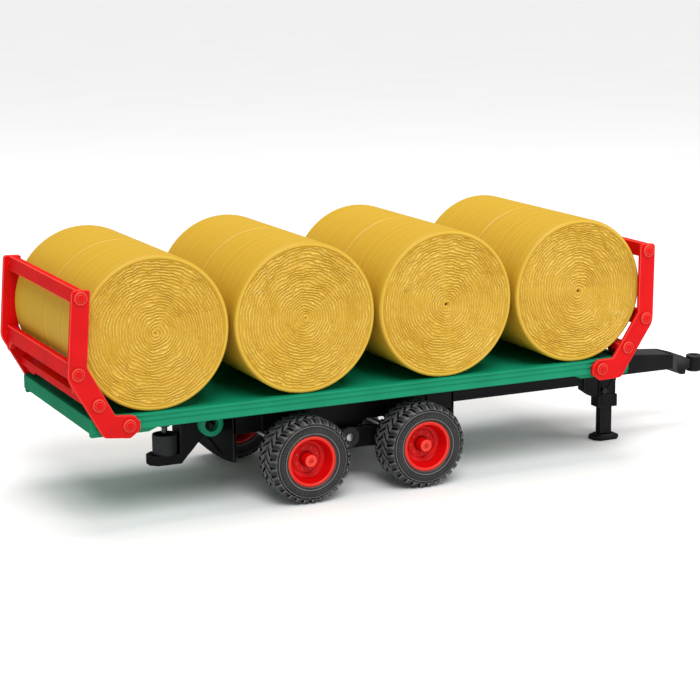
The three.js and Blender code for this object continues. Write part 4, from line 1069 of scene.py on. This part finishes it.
straw_plastic, wires = material_wiring("straw_plastic")
spot = wires.spot()
relief = wires.stored("relief")
on_side = wires.stored("side")
drift = wires.noise(spot, 22.0, 4.0)
specks = wires.noise(spot, 1500.0)
across = wires.node("ShaderNodeSeparateXYZ", {"Vector": spot}, "Y")
strand = across + wires.noise(spot, 14.0) * 0.004
coarse, fine = (
    wires.node("ShaderNodeTexNoise", {"W": strand, "Scale": scale, "Detail": detail}, "Fac",
               noise_dimensions="1D")
    for scale, detail in ((520.0, 3.0), (1900.0, 1.0))
)
lines = (coarse * 0.7 + fine * 0.3).between(0.32, 0.68)
# painted shade: the face is coloured darker where the spiral ridge runs low
tone = wires.mix(relief.between(-0.15, 0.60), STRAW_SHADE_AND_LINE, STRAW)
# painted highlight: the face's spiral crests are coloured pale
tone = wires.mix(relief.between(0.66, 0.98) * (1 - on_side) * 0.85, tone, STRAW_PAINTED_HIGHLIGHT)
tone = wires.mix((1 - lines) * on_side * 0.30, tone, STRAW_SHADE_AND_LINE)
tone = wires.mix((drift - 0.35) * 0.35, tone, (0.50, 0.275, 0.022, 1))
gloss = 0.36 + 0.16 * (drift - 0.5) + 0.14 * (1 - relief)
bumps = wires.bump(lines * on_side + specks * 0.3, 0.6, 0.00012)
glazed(wires, tone, gloss, bumps, 0.022)

# straw_spiral: raises one wavy spiral ridge on the face that looks towards +Y
spiral_tree, spiral_sockets, wires, given = new_tree(
    "straw_spiral",
    [("Pitch", "NodeSocketFloat"), ("Depth", "NodeSocketFloat"), ("Face Radius", "NodeSocketFloat"),
     ("Face Height", "NodeSocketFloat"), ("Seam Turn", "NodeSocketFloat"), ("Seed", "NodeSocketFloat")],
)
place = wires.node("GeometryNodeInputPosition")
x, y, z = (wires.node("ShaderNodeSeparateXYZ", {"Vector": place}, axis) for axis in "XYZ")
radius = (x * x + z * z) ** 0.5
angle = wires.node("ShaderNodeMath", {0: z, 1: x}, operation="ARCTAN2")


def straw_noise(scale, detail, shift):
    return wires.node(
        "ShaderNodeTexNoise",
        {"Vector": place, "W": given["Seed"] + shift, "Scale": scale, "Detail": detail}, "Fac",
        noise_dimensions="4D",
    )


upright = abs(z) / (radius + 0.004)
sway = (straw_noise(30.0, 1.0, 0.0) - 0.5) * 3.4
ripple = (straw_noise(125.0, 2.0, 7.0) - 0.5) * (1.5 + 1.9 * upright)
turns = radius / given["Pitch"] - angle / (2 * math.pi) + sway + ripple
ridge = ((turns * (2 * math.pi)).sine() * 0.5 + 0.5) ** 1.9
height = ridge * (0.76 + 0.44 * straw_noise(75.0, 1.0, 3.0))
seam_x = wires.node("ShaderNodeMath", {0: given["Seam Turn"]}, operation="COSINE")
seam_z = wires.node("ShaderNodeMath", {0: given["Seam Turn"]}, operation="SINE")
off_seam = abs(x * seam_z - z * seam_x)
beside = off_seam.between(0.0002, 0.0026)
height = height * (0.7 + 0.3 * beside) + 0.2 * (1 - beside)
inside = (1 - radius.between(given["Face Radius"] - 0.0010, given["Face Radius"])) * radius.between(
    0.0014, 0.0026
)
on_face = inside * y.between(given["Face Height"] - 0.0002, given["Face Height"] - 0.0001)
lift = (height - 1) * on_face * given["Depth"]
offset = wires.node("ShaderNodeCombineXYZ", {"Y": lift})
raised = wires.node("GeometryNodeSetPosition", {"Geometry": given["Geometry"], "Offset": offset})
shown = height * on_face + (1 - on_face) * 0.72
marked = wires.node(
    "GeometryNodeStoreNamedAttribute", {"Geometry": raised, "Name": "relief", "Value": shown},
    data_type="FLOAT", domain="POINT",
)
rim_side = radius.between(given["Face Radius"] + 0.0020, given["Face Radius"] + 0.0032)
sided = wires.node(
    "GeometryNodeStoreNamedAttribute", {"Geometry": marked, "Name": "side", "Value": rim_side},
    data_type="FLOAT", domain="POINT",
)
close_tree(wires, sided, given["Finish"])

bale_low, bale_high = span("bale_1_left")
bale_radius = (bale_high.z - bale_low.z) / 2
bale_half = (bale_high.y - bale_low.y) / 2
FACE_INSET = 3.4
EDGE_ROUND = 2.2
RING_STEP = 0.33
VENTS = (0.5, 0.5, 1.2, 1.2)
SPIRAL_PITCH, SPIRAL_DEPTH = 2.0, 1.3


def bale_blank(vent):
    """One smooth bale about the origin, in metres, with close rings on its face towards +Y."""
    r, h = bale_radius, bale_half
    bend = EDGE_ROUND
    edge = arc(r - bend, h - bend, bend, 90, 0, 5)
    back_edge = arc(r - bend, bend - h, bend, 0, -90, 4)
    rings = [(ring_radius, h - 0.1) for ring_radius in np.arange(1.6, r - FACE_INSET, RING_STEP)]
    lip = [(r - 3.3, h - 0.8), (r - 3.05, h - 0.85), (r - 2.75, h - 0.45), (r - 2.5, h - 0.1)]
    wall = [(r, y) for y in np.linspace(h - 2.6, -h + 2.6, 12)]
    profile = (
        [(0, h - 3.6), (vent, h - 3.6), (vent, h - 0.9)] + rings + lip + edge + wall[1:-1] + back_edge
        + [(r - 6, -h), (0, -h)]
    )
    return merged([turned(profile, sides=256)], to_origin)


# angle of the mould's parting line on each row's near face, from the rear row forwards
SEAM_TURNS = (-0.95, -0.6, 1.45, 0.08)
for row in range(1, 5):
    for side, name in ((-1, "right"), (1, "left")):
        low, high = span(f"bale_{row}_{name}")
        centre = (low + high) / 2
        mesh = grown(bale_blank(VENTS[row - 1]), spiral_tree, spiral_sockets, {
            "Pitch": SPIRAL_PITCH * MM, "Depth": SPIRAL_DEPTH * MM,
            "Face Radius": (bale_radius - FACE_INSET) * MM, "Face Height": (bale_half - 0.1) * MM,
            "Seam Turn": SEAM_TURNS[row - 1], "Seed": float(row * 10 + side), "Finish": straw_plastic,
        })
        turn = Matrix.Rotation(0 if side > 0 else math.pi, 4, "Z")
        mesh.transform(Matrix.Translation(centre * MM + Vector((middle, 0, 0))) @ turn)
        mounted(f"straw_bale_{row}_{name}", mesh, straw_plastic, f"bale_{row}_{name}", "straw_plastic",
                [f"bale_{row}_{name}"], crease=60, marked=False)
